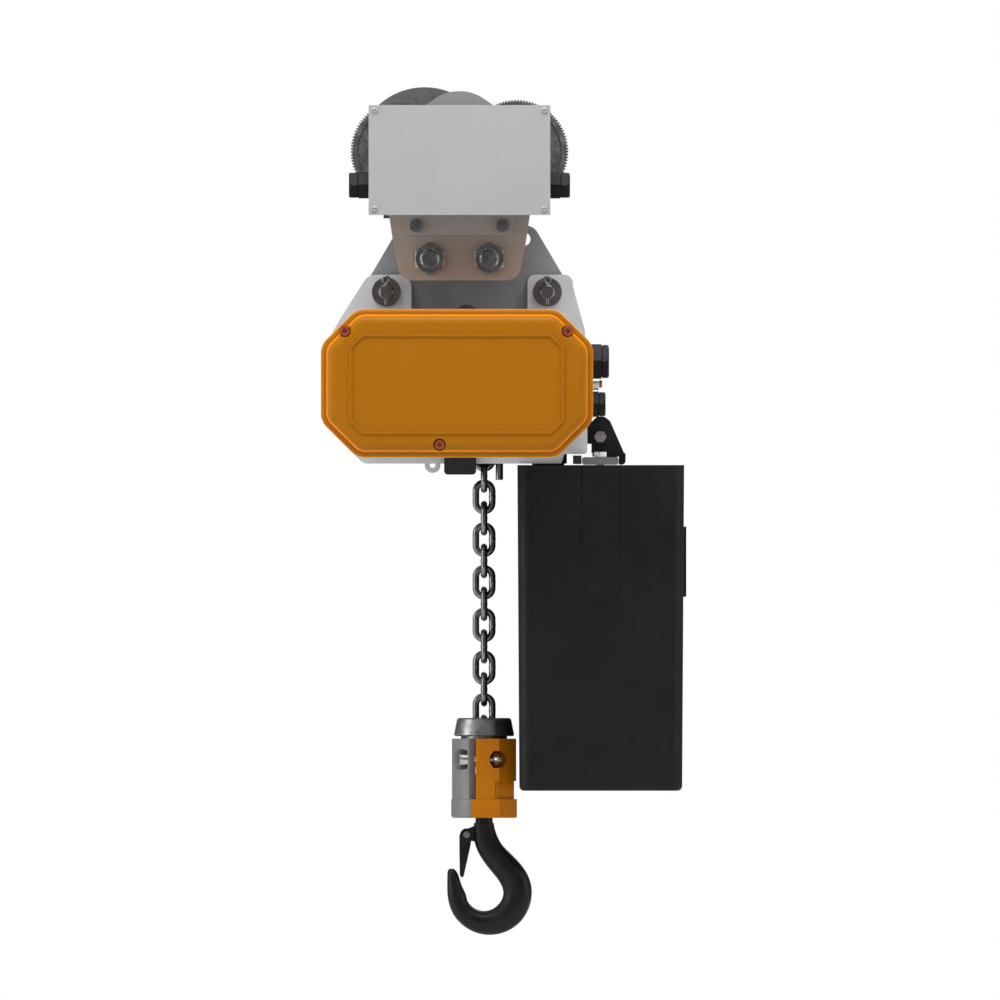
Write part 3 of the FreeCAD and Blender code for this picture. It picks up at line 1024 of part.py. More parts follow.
def block():
    axis = ("chain_x", 0)
    cap = turned([(0, 0), ("cap_large-1.2", 0), ("cap_large", 1.2), ("cap_large", 2.2),
                  ("cap_small", "cap_top-cap_bottom-1.6"), ("cap_small-1.6", "cap_top-cap_bottom"),
                  (0, "cap_top-cap_bottom")], "cap_bottom", *axis, "z")
    spigot = rod(24, "block_top", "cap_bottom+0.5", *axis, "z")
    piece(cut(fuse(cap, spigot), rod("chain_bore", -570, -540, *axis, "z")), "block_cap")

    wide = "block_half+flange_lip"
    foot = turned([(0, 0), (f"{wide}-1.8", 0), (wide, 1.8), (wide, "block_flange-block_bottom-0.5"),
                   (f"{wide}-0.5", "block_flange-block_bottom"), (0, "block_flange-block_bottom")],
                  "block_bottom", *axis, "z")
    round_body = fuse(rod("block_half", "block_bottom+1", "block_top", *axis, "z"), foot)
    flange = profile(block_octagon("-flange_lip"), "block_bottom", "block_flange", "XY_Plane")
    doc.recompute()
    dress(flange, lambda edge: all(abs(v.Point.z) < 1e-4 for v in edge.Vertexes), 1.8)
    faceted = fuse(profile(block_octagon(0), "block_bottom+1.9", "block_top", "XY_Plane"), flange)
    waist = cut(box(("chain_x+11.5", "chain_x+40"), (-40, 40), ("block_flange", -612.7)),
                profile(block_octagon(2.2), "block_bottom", "block_top", "XY_Plane"))

    def bores():
        return [rod("chain_bore", "nut_top", -560, *axis, "z"), rod(19, "ledge_z", "nut_top+0.4", *axis, "z"),
                rod("shank+0.1", -660, "ledge_z+1", *axis, "z"), rod("chain_pin", -17.5, 17.5, "chain_x", PIN_Z),
                *[rod("clamp_radius+0.05", -40, "chain_x+nut_seat+9", y, "clamp_z", "x")
                  for y in ("clamp_y", "-clamp_y")]]

    def side(low, high, flange_low, flange_high):
        return [box((low, high), (-40, 40), ("block_flange", -560)),
                box((flange_low, flange_high), (-40, 40), (-660, "block_flange"))]

    split, lower_split = "chain_x+split_x", "chain_x+flange_split"
    heads = [rod("head_pocket", -20, "chain_x+head_seat", y, "clamp_z", "x") for y in ("clamp_y+1", "-clamp_y-1")]
    grooves = [profile([(5, f"{y}*33"), (18, f"{y}*36"), (18, f"{y}*24.1")][::y], "block_flange", "block_top+1",
                       "XY_Plane") for y in (-1, 1)]
    grey = cut(round_body, *side(split, 80, lower_split, 80), *bores(), *heads, *grooves)
    piece(grey, "block_shell_left")
    # the nuts sit in pockets milled from the front and the back, straight on the left and round on the right
    nuts = []
    for low, high in ((-40, "-pocket_floor"), ("pocket_floor", 40)):
        nuts.append(box(("chain_x+nut_seat", "chain_x+nut_seat+5.3"), (low, high),
                        ("clamp_z-pocket_half", "clamp_z+pocket_half")))
        nuts.append(rod("pocket_half", low, high, "chain_x+nut_seat+5.3", "clamp_z"))
    orange = cut(faceted, *side(-20, f"{split}+split_gap", -20, f"{lower_split}"), *bores(), *nuts, waist)
    piece(orange, "block_shell_right")

    bolts = []
    for y in ("clamp_y", "-clamp_y"):
        head = cut(rod(7, "chain_x+head_seat-8", "chain_x+head_seat", y, "clamp_z", "x"),
                   hexagon(6, "chain_x+head_seat-9", "chain_x+head_seat-3.5", y, "clamp_z", "x"))
        shank = rod("clamp_radius", "chain_x+head_seat", "chain_x+nut_seat+8", y, "clamp_z", "x")
        nut = hex_nut(13, "chain_x+nut_seat", "chain_x+nut_seat+6.5", "clamp_radius", y, "clamp_z", "x")
        bolts += [fuse(head, shank), nut]
    bolts.append(rod("chain_pin-0.05", -17.4, 17.4, "chain_x", PIN_Z))
    piece(group(*bolts), "block_bolts_and_pin")
    top = "ledge_z+bearing_thick"
    piece(cut(ring("thread+0.2", 17.5, "ledge_z", top, *axis, "z"),
              ring(15.8, 18, "ledge_z+4.5", "ledge_z+7", *axis, "z")), "thrust_bearing")


PIN_Z = "(first_link-13*pitch-inner_half+chain_pin)"


def hook_sections():
    """Stations along the hook: centre (x, z), outward angle, half width and half depth."""
    neck = [(25.3, value("neck_z"), 0, 10.4, 10.2), (26.0, -664, 0, 11.3, 10.3), (28.1, -674.5, 14, 12.4, 10.4),
            (34.1, -686.4, 31, 12.9, 10.6), (44.2, -698.3, 38, 13.8, 11.2), (54.6, -710.9, 24, 14.7, 11.7)]
    bowl = []
    inner, outer = Vector(value("bowl_x"), 0, value("bowl_z")), Vector(value("outer_x"), 0, value("outer_z"))
    depths = {4: 11.9, -32: 12.1, -64: 11.9, -94: 11.4, -124: 10.6, -152: 9.5, -176: 8.4}
    for degrees, depth in depths.items():
        angle = math.radians(degrees)
        ray = Vector(math.cos(angle), 0, math.sin(angle))
        offset = inner - outer
        along = offset.dot(ray)
        reach = -along + math.sqrt(along ** 2 - offset.dot(offset) + value("outer_radius") ** 2)
        near_side, far_side = inner + ray * value("bowl_radius"), inner + ray * reach
        middle = (near_side + far_side) / 2
        bowl.append((middle.x, middle.z, degrees, (far_side - near_side).Length / 2, depth))
    tip = [(-5.2, -720.3, -186, 7.6, 6.9), (-6.6, -711.8, -184, 6.1, 5.6), (-7.7, -706.2, -182, 4.4, 4.1),
           (-8.2, -703.8, -180, 2.2, 2.1)]
    return neck + bowl + tip


def hook():
    rings = []
    for x, z, degrees, half_width, half_depth in hook_sections():
        angle = math.radians(degrees)
        outward = Vector(math.cos(angle), 0, math.sin(angle))
        oval = doc.addObject("Part::Ellipse", "Station")
        oval.MajorRadius = max(half_width, half_depth + 0.001)
        oval.MinorRadius = half_depth
        forward = Vector(0, 1, 0)
        oval.Placement = Placement(Vector(x, 0, z), Rotation(outward, forward, outward.cross(forward), "XYZ"))
        rings.append(oval)
    bend = doc.addObject("Part::Loft", "Bend")
    bend.Sections = rings
    bend.Solid = True
    axis = ("chain_x", 0)
    shank = fuse(rod("shank", "neck_z-2", "ledge_z-0.3", *axis, "z"),
                 rod("thread", "ledge_z-1", "nut_top", *axis, "z"))
    ear = profile([("hook_pivot_x-1", "hook_pivot_z-5.5"), ("hook_pivot_x+14", "hook_pivot_z-8"),
                   ("hook_pivot_x+14", "hook_pivot_z+9.5"), ("hook_pivot_x+8.5", "hook_pivot_z+9.5"),
                   ("hook_pivot_x-2", "hook_pivot_z+5.2")], -4, 1)
    lug = fuse(rod(5.6, -4, 1, "hook_pivot_x", "hook_pivot_z"), ear)
    lug = cut(lug, rod("rivet+0.05", -5, 2, "hook_pivot_x", "hook_pivot_z"))
    piece(fuse(bend, shank, lug), "hook")
    piece(hex_nut(30, "ledge_z+bearing_thick+0.3", "nut_top", "thread", *axis, "z"), "hook_nut")

    # the latch is one bent strip: two cheeks on the rivet and a blade down to the hook's tip
    pivot = ("hook_pivot_x", "hook_pivot_z")
    sheet_in = "latch_half-latch_sheet"
    cheeks = []
    for low, high in ((f"-({sheet_in})-0.2-latch_sheet", f"-({sheet_in})-0.2"), (sheet_in, "latch_half")):
        cheeks.append(rod("knuckle", low, high, *pivot))
        cheeks.append(profile([(-0.2, "hook_pivot_z"), (0.3, "latch_tip_z+2.2"), (1.5, "latch_tip_z"),
                               (4.2, "latch_tip_z"), (11.1, -681.6), (12.6, -672.9), ("hook_pivot_x", -668)],
                              low, high, rounds={1: 1.2, 3: 1}))
    blade = profile([(-0.2, -679), (0.3, "latch_tip_z+2.2"), (1.5, "latch_tip_z"), (3.6, "latch_tip_z"),
                     (2.2, -705), (1.7, -679)], f"-({sheet_in})-0.2-latch_sheet", "latch_half")
    piece(cut(fuse(*cheeks, blade), rod("rivet+0.05", -9, 9, *pivot)), "safety_latch")
    rivet = fuse(rod("rivet", -9, 7.8, *pivot), rod("rivet+1.2", -9, -7.2, *pivot), rod("rivet+1.2", 6.8, 8.4, *pivot))
    piece(rivet, "latch_rivet")
    coils = []
    for y in (1.9, 3.3):
        coil = bind(doc.addObject("Part::Torus", "Coil"), Radius1="rivet+1.2", Radius2=0.6)
        coils.append(place(coil, "hook_pivot_x", y, "hook_pivot_z", ALONG_Y))
    arm = rod(0.5, "hook_pivot_z-12", "hook_pivot_z+0.4", "hook_pivot_x-rivet-1.2", 3.3, "z")
    stay = rod(0.5, "hook_pivot_x-0.4", "hook_pivot_x+6.4", 1.9, "hook_pivot_z+rivet+1.2", "x")
    joiner = rod(0.5, 1.7, 3.5, "hook_pivot_x+rivet+1.2", "hook_pivot_z")
    piece(fuse(*coils, arm, stay, joiner), "latch_spring")


# ---------------------------------------------------------------- build, check and write
piece(group(*trolley(), *gear_train()), "ball_bearings")
piece(group(travel_drive(), motor()), "stator_windings")
piece(group(*control_box(), *electrics()), "switchgear")
for make in (track_wheels, cable_inlets, suspension, housing, gearbox_and_covers, chains, chain_fittings,
             container, container_hanger, block, hook):
    make()
doc.recompute()

failed = [f"{thing.Label} ({thing.TypeId}): {thing.State}" for thing in doc.Objects
          if "Invalid" in thing.State or "Error" in thing.State]
for part in pieces:
    if part.Shape.isNull() or not part.Shape.isValid():
        failed.append(f"{part.Label}: shape is null or invalid")
if failed:
    raise RuntimeError("\n".join(failed))

os.makedirs("parts", exist_ok=True)
for part in pieces:
    part.Shape.exportStep(f"parts/{part.Label}.step")
    extent = part.Shape.BoundBox
    print(f"{part.Label:26s} {len(part.Shape.Solids):3d} solids {len(part.Shape.Faces):5d} faces"
          f"  x {extent.XMin:7.1f} {extent.XMax:7.1f}  y {extent.YMin:7.1f} {extent.YMax:7.1f}"
          f"  z {extent.ZMin:7.1f} {extent.ZMax:7.1f}")
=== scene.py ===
import json
import math

import bmesh
import bpy
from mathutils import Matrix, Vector


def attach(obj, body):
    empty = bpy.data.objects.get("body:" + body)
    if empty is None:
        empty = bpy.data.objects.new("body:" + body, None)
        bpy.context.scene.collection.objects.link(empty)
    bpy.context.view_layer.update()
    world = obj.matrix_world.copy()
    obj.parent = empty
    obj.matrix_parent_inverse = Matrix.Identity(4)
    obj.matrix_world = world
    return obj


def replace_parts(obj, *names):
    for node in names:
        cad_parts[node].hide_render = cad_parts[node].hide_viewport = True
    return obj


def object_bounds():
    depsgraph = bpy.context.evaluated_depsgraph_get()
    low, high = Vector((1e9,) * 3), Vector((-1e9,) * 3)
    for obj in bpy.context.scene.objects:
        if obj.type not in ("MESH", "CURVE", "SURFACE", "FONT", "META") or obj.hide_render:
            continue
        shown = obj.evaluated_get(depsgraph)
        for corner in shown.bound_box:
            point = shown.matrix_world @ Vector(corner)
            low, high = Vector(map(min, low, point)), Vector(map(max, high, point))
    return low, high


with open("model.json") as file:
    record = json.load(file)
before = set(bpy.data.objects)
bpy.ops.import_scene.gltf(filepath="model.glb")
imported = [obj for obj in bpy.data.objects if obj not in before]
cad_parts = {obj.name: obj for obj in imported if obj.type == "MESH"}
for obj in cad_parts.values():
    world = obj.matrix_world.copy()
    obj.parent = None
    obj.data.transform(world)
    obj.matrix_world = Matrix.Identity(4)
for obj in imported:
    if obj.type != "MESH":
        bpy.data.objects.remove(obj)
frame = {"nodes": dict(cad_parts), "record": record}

CAD_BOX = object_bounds()
NODES = frame["nodes"]
SLOT_OF = {entry["node"]: entry["material_slot"] for entry in frame["record"]["subparts"]}


# ---------------------------------------------------------------- materials
class Surface:
    """A procedural material whose roughness and relief come from noise in the part's own frame."""

    BEVEL_SAMPLES = 6
    COAT_ROUGHNESS = 0.12

    def __init__(self, name, rough, metallic=0.0, coat=0.0, specular=0.5):
        self.material = bpy.data.materials.new(name)
        self.material.use_nodes = True
        self.tree = self.material.node_tree
        self.shader = self.tree.nodes["Principled BSDF"]
        self.shader.inputs["Metallic"].default_value = metallic
        self.shader.inputs["Roughness"].default_value = rough
        self.shader.inputs["Coat Weight"].default_value = coat
        self.shader.inputs["Coat Roughness"].default_value = self.COAT_ROUGHNESS
        self.shader.inputs["Specular IOR Level"].default_value = specular
        self.where = self.node("ShaderNodeTexCoord").outputs["Object"]

    def node(self, kind, **values):
        made = self.tree.nodes.new(kind)
        for key, value in values.items():
            setattr(made, key, value)
        return made

    def link(self, source, target):
        self.tree.links.new(source, target)

    def stretched(self, scale):
        mapping = self.node("ShaderNodeMapping")
        mapping.inputs["Scale"].default_value = scale
        self.link(self.where, mapping.inputs["Vector"])
        return mapping.outputs["Vector"]

    def noise(self, scale, detail=3.0, stretch=None, roughness=0.55):
        made = self.node("ShaderNodeTexNoise")
        made.inputs["Scale"].default_value = scale
        made.inputs["Detail"].default_value = detail
        made.inputs["Roughness"].default_value = roughness
        self.link(self.stretched(stretch) if stretch else self.where, made.inputs["Vector"])
        return made.outputs["Fac"]

    def ramp(self, source, low, high, start=0.35, end=0.65):
        made = self.node("ShaderNodeMapRange")
        made.inputs["From Min"].default_value = start
        made.inputs["From Max"].default_value = end
        made.inputs["To Min"].default_value = low
        made.inputs["To Max"].default_value = high
        self.link(source, made.inputs["Value"])
        return made.outputs["Result"]

    def mix(self, share, first, second):
        """Goes from the first colour to the second by a share; a colour is a tuple or another output."""
        made = self.node("ShaderNodeMix", data_type="RGBA")
        inputs = {socket.identifier: socket for socket in made.inputs}
        self.link(share, inputs["Factor_Float"])
        for value, socket in ((first, inputs["A_Color"]), (second, inputs["B_Color"])):
            if isinstance(value, tuple):
                socket.default_value = (*value, 1.0)
            else:
                self.link(value, socket)
        return next(socket for socket in made.outputs if socket.identifier == "Result_Color")

    def colour(self, source):
        self.link(source, self.shader.inputs["Base Color"])

    def rough(self, source):
        self.link(source, self.shader.inputs["Roughness"])

    def rounded_normal(self, radius):
        rounded = self.node("ShaderNodeBevel", samples=self.BEVEL_SAMPLES)
        rounded.inputs["Radius"].default_value = radius
        return rounded.outputs["Normal"]

    def painted_view_light_and_shade(self, body, colour, start, end):
        """Paints a colour in where the surface turns away from the eye, so it moves with the view:
        painted rim light when the colour is brighter, painted shade when it is darker.
        """
        facing = self.node("ShaderNodeLayerWeight")
        facing.inputs["Blend"].default_value = 0.5
        return self.mix(self.ramp(facing.outputs["Facing"], 0.0, 1.0, start, end), body, colour)

    def relief(self, *layers, edge=0.0004):
        """Bumps on top of softly rounded edges. A layer is (height source, depth in metres, strength)."""
        normal = self.rounded_normal(edge)
        for source, depth, strength in layers:
            bump = self.node("ShaderNodeBump")
            bump.inputs["Strength"].default_value = strength
            bump.inputs["Distance"].default_value = depth
            self.link(source, bump.inputs["Height"])
            self.link(normal, bump.inputs["Normal"])
            normal = bump.outputs["Normal"]
        self.link(normal, self.shader.inputs["Normal"])

    def edges(self, reach, start, end):
        """1 on outer edges and 0 on flat faces, broken up by noise."""
        rounded = self.rounded_normal(reach)
        plain = self.node("ShaderNodeNewGeometry")
        dot = self.node("ShaderNodeVectorMath", operation="DOT_PRODUCT")
        self.link(rounded, dot.inputs[0])
        self.link(plain.outputs["Normal"], dot.inputs[1])
        mask = self.ramp(dot.outputs["Value"], 1.0, 0.0, 0.86, 0.995)
        broken = self.ramp(self.noise(260, 5), 0.0, 1.0, start, end)
        both = self.node("ShaderNodeMath", operation="MULTIPLY")
        self.link(mask, both.inputs[0])
        self.link(broken, both.inputs[1])
        return both.outputs["Value"]


def shade(colour, factor):
    return tuple(min(1.0, c * factor) for c in colour)


def paint(name, colour, rough=0.42, cell=850, depth=0.00006, mottle=0.07, worn=0.0, edge=0.0005,
          specular=0.4, grazing_light_and_shade=None, low=None):
    """Sprayed paint or powder coat with orange peel and slight mottling.

    grazing is a colour painted in where the surface turns away from the eye, a painted rim highlight that
    moves with the view.
    low is (colour, height where it starts, height where it is full), painted warm bounce light from the
    orange cover on the lower part.
    """
    made = Surface(name, rough, specular=specular)
    patches = made.ramp(made.noise(9, 4), 0.0, 1.0)
    body = made.mix(patches, shade(colour, 1 - mottle), shade(colour, 1 + mottle))
    body = made.mix(made.ramp(made.noise(45, 5), 0.0, 0.25), body, shade(colour, 0.93))
    if low:
        # painted bounce light: the low colour is mixed in towards the bottom, in place of warm light
        # thrown up from the orange cover
        painted_bounce_tint, top, bottom = low
        heights = made.node("ShaderNodeSeparateXYZ")
        made.link(made.where, heights.inputs["Vector"])
        body = made.mix(made.ramp(heights.outputs["Z"], 1.0, 0.0, bottom, top), body, painted_bounce_tint)
    if worn:
        body = made.mix(made.edges(0.0009, 0.52, 0.7), body, shade(colour, 1 + worn))
    # painted rim highlight: the grazing colour is mixed in by the angle to the eye
    if grazing_light_and_shade:
        body = made.painted_view_light_and_shade(body, grazing_light_and_shade, 0.3, 0.85)
    made.colour(body)
    made.rough(made.ramp(made.noise(38, 4), rough - 0.07, rough + 0.09))
    made.relief((made.noise(cell, 2), depth, 0.22), (made.noise(70, 2), 0.0002, 0.05), edge=edge)
    return made


def cast(name, colour, rough=0.5, worn=0.12, specular=0.4, grazing_light_and_shade=None):
    """Painted casting: a rolling surface under a fine skin.

    grazing is a colour painted in where the surface turns away from the eye: painted shade that moves
    with the view.
    """
    made = Surface(name, rough, specular=specular)
    body = made.mix(made.ramp(made.noise(14, 5), 0.0, 1.0), shade(colour, 0.92), shade(colour, 1.07))
    body = made.mix(made.ramp(made.noise(420, 2), 0.0, 0.2), body, shade(colour, 0.88))
    body = made.mix(made.edges(0.0012, 0.48, 0.66), body, shade(colour, 1 + worn))
    # painted shade: the grazing colour is mixed in by the angle to the eye
    if grazing_light_and_shade:
        body = made.painted_view_light_and_shade(body, grazing_light_and_shade, 0.25, 0.8)
    made.colour(body)
    made.rough(made.ramp(made.noise(90, 4), rough - 0.08, rough + 0.1))
    made.relief((made.noise(520, 3), 0.00018, 0.25), (made.noise(60, 3), 0.0005, 0.12), edge=0.0008)
    return made


def plastic(name, colour, rough=0.5, grain=2600, depth=0.00008, specular=0.45):
    """Moulded plastic with a fine eroded grain and faint rubbed patches."""
    made = Surface(name, rough, specular=specular)
    body = made.mix(made.ramp(made.noise(18, 4), 0.0, 1.0), shade(colour, 0.86), shade(colour, 1.18))
    body = made.mix(made.edges(0.0008, 0.5, 0.7), body, shade(colour, 1.9))
    made.colour(body)
    made.rough(made.ramp(made.noise(26, 5), rough - 0.06, rough + 0.1))
    voronoi = made.node("ShaderNodeTexVoronoi", feature="SMOOTH_F1")
    voronoi.inputs["Scale"].default_value = grain
    made.link(made.where, voronoi.inputs["Vector"])
    made.relief((voronoi.outputs["Distance"], depth, 0.3), (made.noise(45, 2), 0.0002, 0.06), edge=0.0006)
    return made


STAIN_TINT = (0.756, 0.684, 0.54)


def steel(name, colour, rough=0.32, stretch=(60, 900, 60), metallic=1.0, noise=1.0):
    """Machined or plated steel with tool marks, faint staining and rubbed edges."""
    made = Surface(name, rough, metallic=metallic)
    marks = made.noise(1.0, 4, stretch)
    body = made.mix(made.ramp(marks, 0.0, 1.0), shade(colour, 1 - 0.16 * noise),
                    shade(colour, 1 + 0.12 * noise))
    stain = made.ramp(made.noise(40, 5), 0.0, 0.16 * noise, 0.45, 0.75)
    body = made.mix(stain, body, tuple(a * b for a, b in zip(colour, STAIN_TINT)))
    body = made.mix(made.edges(0.0006, 0.42, 0.62), body, shade(colour, 1.35))
    made.colour(body)
    made.rough(made.ramp(made.noise(120, 4), rough - 0.08, rough + 0.14))
    made.relief((marks, 0.00006, 0.2), edge=0.0003)
    return made


def forged(name, colour, rough=0.38):
    """Black paint over a forged skin: shallow hammer waves and small pits."""
    made = Surface(name, rough, coat=0.02, specular=0.2)
    body = made.mix(made.ramp(made.noise(30, 5), 0.0, 1.0), shade(colour, 0.75), shade(colour, 1.25))
    body = made.mix(made.edges(0.001, 0.5, 0.7), body, shade(colour, 3.0))
    made.colour(body)
    made.rough(made.ramp(made.noise(60, 5), rough - 0.08, rough + 0.14))
    made.relief((made.noise(85, 3), 0.0007, 0.14), (made.noise(900, 3), 0.00012, 0.22), edge=0.0009)
    return made


def rubber(name, colour):
    made = Surface(name, 0.72, specular=0.3)
    made.colour(made.mix(made.ramp(made.noise(45, 4), 0.0, 1.0), shade(colour, 0.8), shade(colour, 1.5)))
    made.rough(made.ramp(made.noise(150, 3), 0.62, 0.85))
    made.relief((made.noise(1500, 2), 0.00008, 0.3), edge=0.0006)
    return made


def windings(name, colour):
    made = Surface(name, 0.4, metallic=0.4)
    stripes = made.noise(1.0, 2, (20, 700, 20))
    made.colour(made.mix(made.ramp(stripes, 0.0, 1.0), shade(colour, 0.6), shade(colour, 1.4)))
    made.rough(made.ramp(made.noise(200, 3), 0.3, 0.55))
    made.relief((stripes, 0.0002, 0.4), edge=0.0003)
    return made


SURFACES = {
    # plate: the low colour is painted warm bounce light from the orange cover on the lower part
    "trolley_plate_paint": paint("plate_paint", (0.22, 0.215, 0.21), rough=0.5, mottle=0.06, worn=0.3,
                                 low=((0.34, 0.265, 0.215), 0.02, -0.075)),
    "polished_steel": steel("polished_steel", (0.27, 0.265, 0.26), rough=0.16, noise=0.15),
    "dark_steel": steel("dark_steel", (0.22, 0.22, 0.222), rough=0.28),
    "zinc_steel": steel("zinc_steel", (0.46, 0.46, 0.45), rough=0.3),
    "wheel_steel": steel("wheel_steel", (0.26, 0.26, 0.262), rough=0.36, stretch=(220, 30, 220)),
    "gear_steel": steel("gear_steel", (0.48, 0.48, 0.50), rough=0.28),
    "winding": windings("winding_varnish", (0.30, 0.15, 0.07)),
    "drive_paint": cast("drive_paint", (0.085, 0.085, 0.09), rough=0.45),
    "box_paint": paint("box_paint", (0.315, 0.315, 0.32), rough=0.44, cell=1300, depth=0.00004,
                       mottle=0.02, worn=0.16),
    "bracket_paint": paint("bracket_paint", (0.30, 0.27, 0.25), rough=0.48, worn=0.3),
    "switch_plastic": plastic("switch_plastic", (0.55, 0.56, 0.56), rough=0.45),
    "black_plastic": plastic("black_nylon", (0.006, 0.006, 0.0063), rough=0.34, specular=0.14),
    "suspension_paint": paint("suspension_paint", (0.25, 0.25, 0.255), rough=0.5, worn=0.2),
    # casting: the grazing colour is painted shade on faces turned away from the eye
    "casting_paint": cast("casting_paint", (0.53, 0.53, 0.535), grazing_light_and_shade=(0.25, 0.25, 0.253)),
    # orange paint: the grazing colour is a painted red rim highlight on faces turned away from the eye
    "orange_paint": paint("orange_paint", (0.315, 0.112, 0.001), rough=0.34, mottle=0.015,
                          worn=0.04, edge=0.0007, specular=0.12, grazing_light_and_shade=(1.0, 0.27, 0.001)),
    "seal_rubber": rubber("seal_rubber", (0.012, 0.012, 0.013)),
    "screw_bronze": steel("screw_coating", (0.34, 0.075, 0.035), rough=0.42, metallic=0.55),
    "chain_steel": steel("chain_steel", (0.20, 0.195, 0.19), rough=0.24, stretch=(300, 300, 300)),
    "container_plastic": plastic("container_plastic", (0.007, 0.007, 0.0074), rough=0.5, grain=1900,
                                 depth=0.00012, specular=0.16),
    "black_paint": paint("black_paint", (0.008, 0.008, 0.0085), rough=0.42, mottle=0.2, worn=1.2,
                         specular=0.3),
    "bar_paint": paint("bar_paint", (0.105, 0.105, 0.105), rough=0.5, mottle=0.1, worn=0.3),
    "block_cap_steel": steel("block_cap_steel", (0.25, 0.25, 0.252), rough=0.36, stretch=(40, 40, 1400)),
    "block_grey": cast("block_grey", (0.145, 0.145, 0.148), rough=0.42),
    "block_orange": cast("block_orange", (0.39, 0.127, 0.002), rough=0.42, specular=0.1),
    "hook_black": forged("hook_black", (0.005, 0.005, 0.0053)),
}

for name, node in NODES.items():
    node.data.materials.clear()
    node.data.materials.append(SURFACES[SLOT_OF[name]].material)


# ---------------------------------------------------------------- pieces made here
WIRE = 0.0035            # radius of the chain's wire
LINK_SIDE = 0.0085       # from a link's middle to the middle of its straight sides
LINK_BOW = 0.00625       # from a link's middle to the centre of a bow
PITCH = 0.0222
CHAIN_X = 0.0256
FIRST_LINK = -0.295
BOW_STEPS = 14
SIDE_STEPS = 16
AROUND = 18
TURNED_SIDES = 40


def keep(mesh, name, slot, body):
    """Turns a bmesh into a smooth piece that takes its finish from a slot and moves with a body."""
    data = bpy.data.meshes.new(name)
    bmesh.ops.recalc_face_normals(mesh, faces=mesh.faces)
    mesh.to_mesh(data)
    mesh.free()
    for face in data.polygons:
        face.use_smooth = True
    data.materials.append(SURFACES[slot].material)
    made = bpy.data.objects.new(name, data)
    bpy.context.scene.collection.objects.link(made)
    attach(made, body)
    return made


def join_rings(mesh, ring, following):
    for i in range(len(ring)):
        k = (i + 1) % len(ring)
        mesh.faces.new((ring[i], ring[k], following[k], following[i]))


def weld_swelling(height):
    """A low collar with a fine groove in its middle, as a share of the wire's radius."""
    collar = 0.10 * math.exp(-(height / 0.0011) ** 2)
    groove = 0.05 * math.exp(-(height / 0.0003) ** 2)
    return collar - groove


def link_line():
    """Centre line of a link as (sideways, up, sideways normal, up normal, wire radius)."""
    line = []
    for side in (1, -1):
        for i in range(SIDE_STEPS):
            up = side * LINK_BOW * (2 * i / SIDE_STEPS - 1)
            swell = 1 + (weld_swelling(up) if side > 0 else 0.0)
            line.append((side * LINK_SIDE, up, side, 0.0, WIRE * swell))
        for i in range(BOW_STEPS):
            angle = math.pi * i / BOW_STEPS
            across, rise = side * math.cos(angle), side * math.sin(angle)
            line.append((LINK_SIDE * across, side * LINK_BOW + LINK_SIDE * rise, across, rise, WIRE))
    return line


def add_link(mesh, middle, edge_on):
    """One round-wire link with the swelling of its weld on one side."""
    rings = []
    for across, up, normal_across, normal_up, radius in link_line():
        ring = []
        for i in range(AROUND):
            angle = 2 * math.pi * i / AROUND
            flat = across + radius * math.cos(angle) * normal_across
            tall = up + radius * math.cos(angle) * normal_up
            deep = radius * math.sin(angle)
            point = (deep, flat, tall) if edge_on else (flat, deep, tall)
            ring.append(mesh.verts.new(Vector(middle) + Vector(point)))
        rings.append(ring)
    for i, ring in enumerate(rings):
        join_rings(mesh, ring, rings[(i + 1) % len(rings)])


def chain_piece(name, node, body, first, last):
    """A row of straight links, numbered downwards; even numbers stand edge on to the front."""
    mesh = bmesh.new()
    for n in range(first, last + 1):
        add_link(mesh, (CHAIN_X, 0, FIRST_LINK - n * PITCH), n % 2 == 0)
    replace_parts(keep(mesh, name, "chain_steel", body), node)


def turned_along_x(name, slot, body, centre_y, centre_z, outline):
    """A solid of revolution about an axis along X; outline is (x, radius) from end to end."""
    mesh = bmesh.new()
    rings = []
    for x, radius in outline:
        ring = []
        for i in range(TURNED_SIDES):
            angle = 2 * math.pi * i / TURNED_SIDES
            ring.append(mesh.verts.new((x, centre_y + radius * math.cos(angle),
                                        centre_z + radius * math.sin(angle))))
        rings.append(ring)
    for ring, following in zip(rings, rings[1:]):
        join_rings(mesh, ring, following)
    mesh.faces.new(rings[0])
    mesh.faces.new(rings[-1])
    keep(mesh, name, slot, body)


chain_piece("hanging_chain", "load_chain", "chain_run", -3, 10)
chain_piece("block_chain", "block_links", "hook_block", 11, 13)

INLET_Y = -0.046
PLUG_Z = -0.2013
turned_along_x("inlet_plug", "switch_plastic", "root", INLET_Y, PLUG_Z,
               [(0.1342, 0.0052), (0.1384, 0.0052), (0.1388, 0.0047), (0.1440, 0.0047),
                (0.1447, 0.0044), (0.1450, 0.0040)])
turned_along_x("inlet_plug_cap", "orange_paint", "root", INLET_Y, PLUG_Z + 0.0016,
               [(0.1452, 0.0036), (0.1456, 0.0039), (0.1478, 0.0039), (0.1483, 0.0036),
                (0.1484, 0.0028)])


# ---------------------------------------------------------------- floor, light and camera
def stage_mesh(name, points, faces, material):
    mesh = bpy.data.meshes.new(name)
    mesh.from_pydata(points, [], faces)
    mesh.materials.append(material)
    made = bpy.data.objects.new(name, mesh)
    bpy.context.scene.collection.objects.link(made)


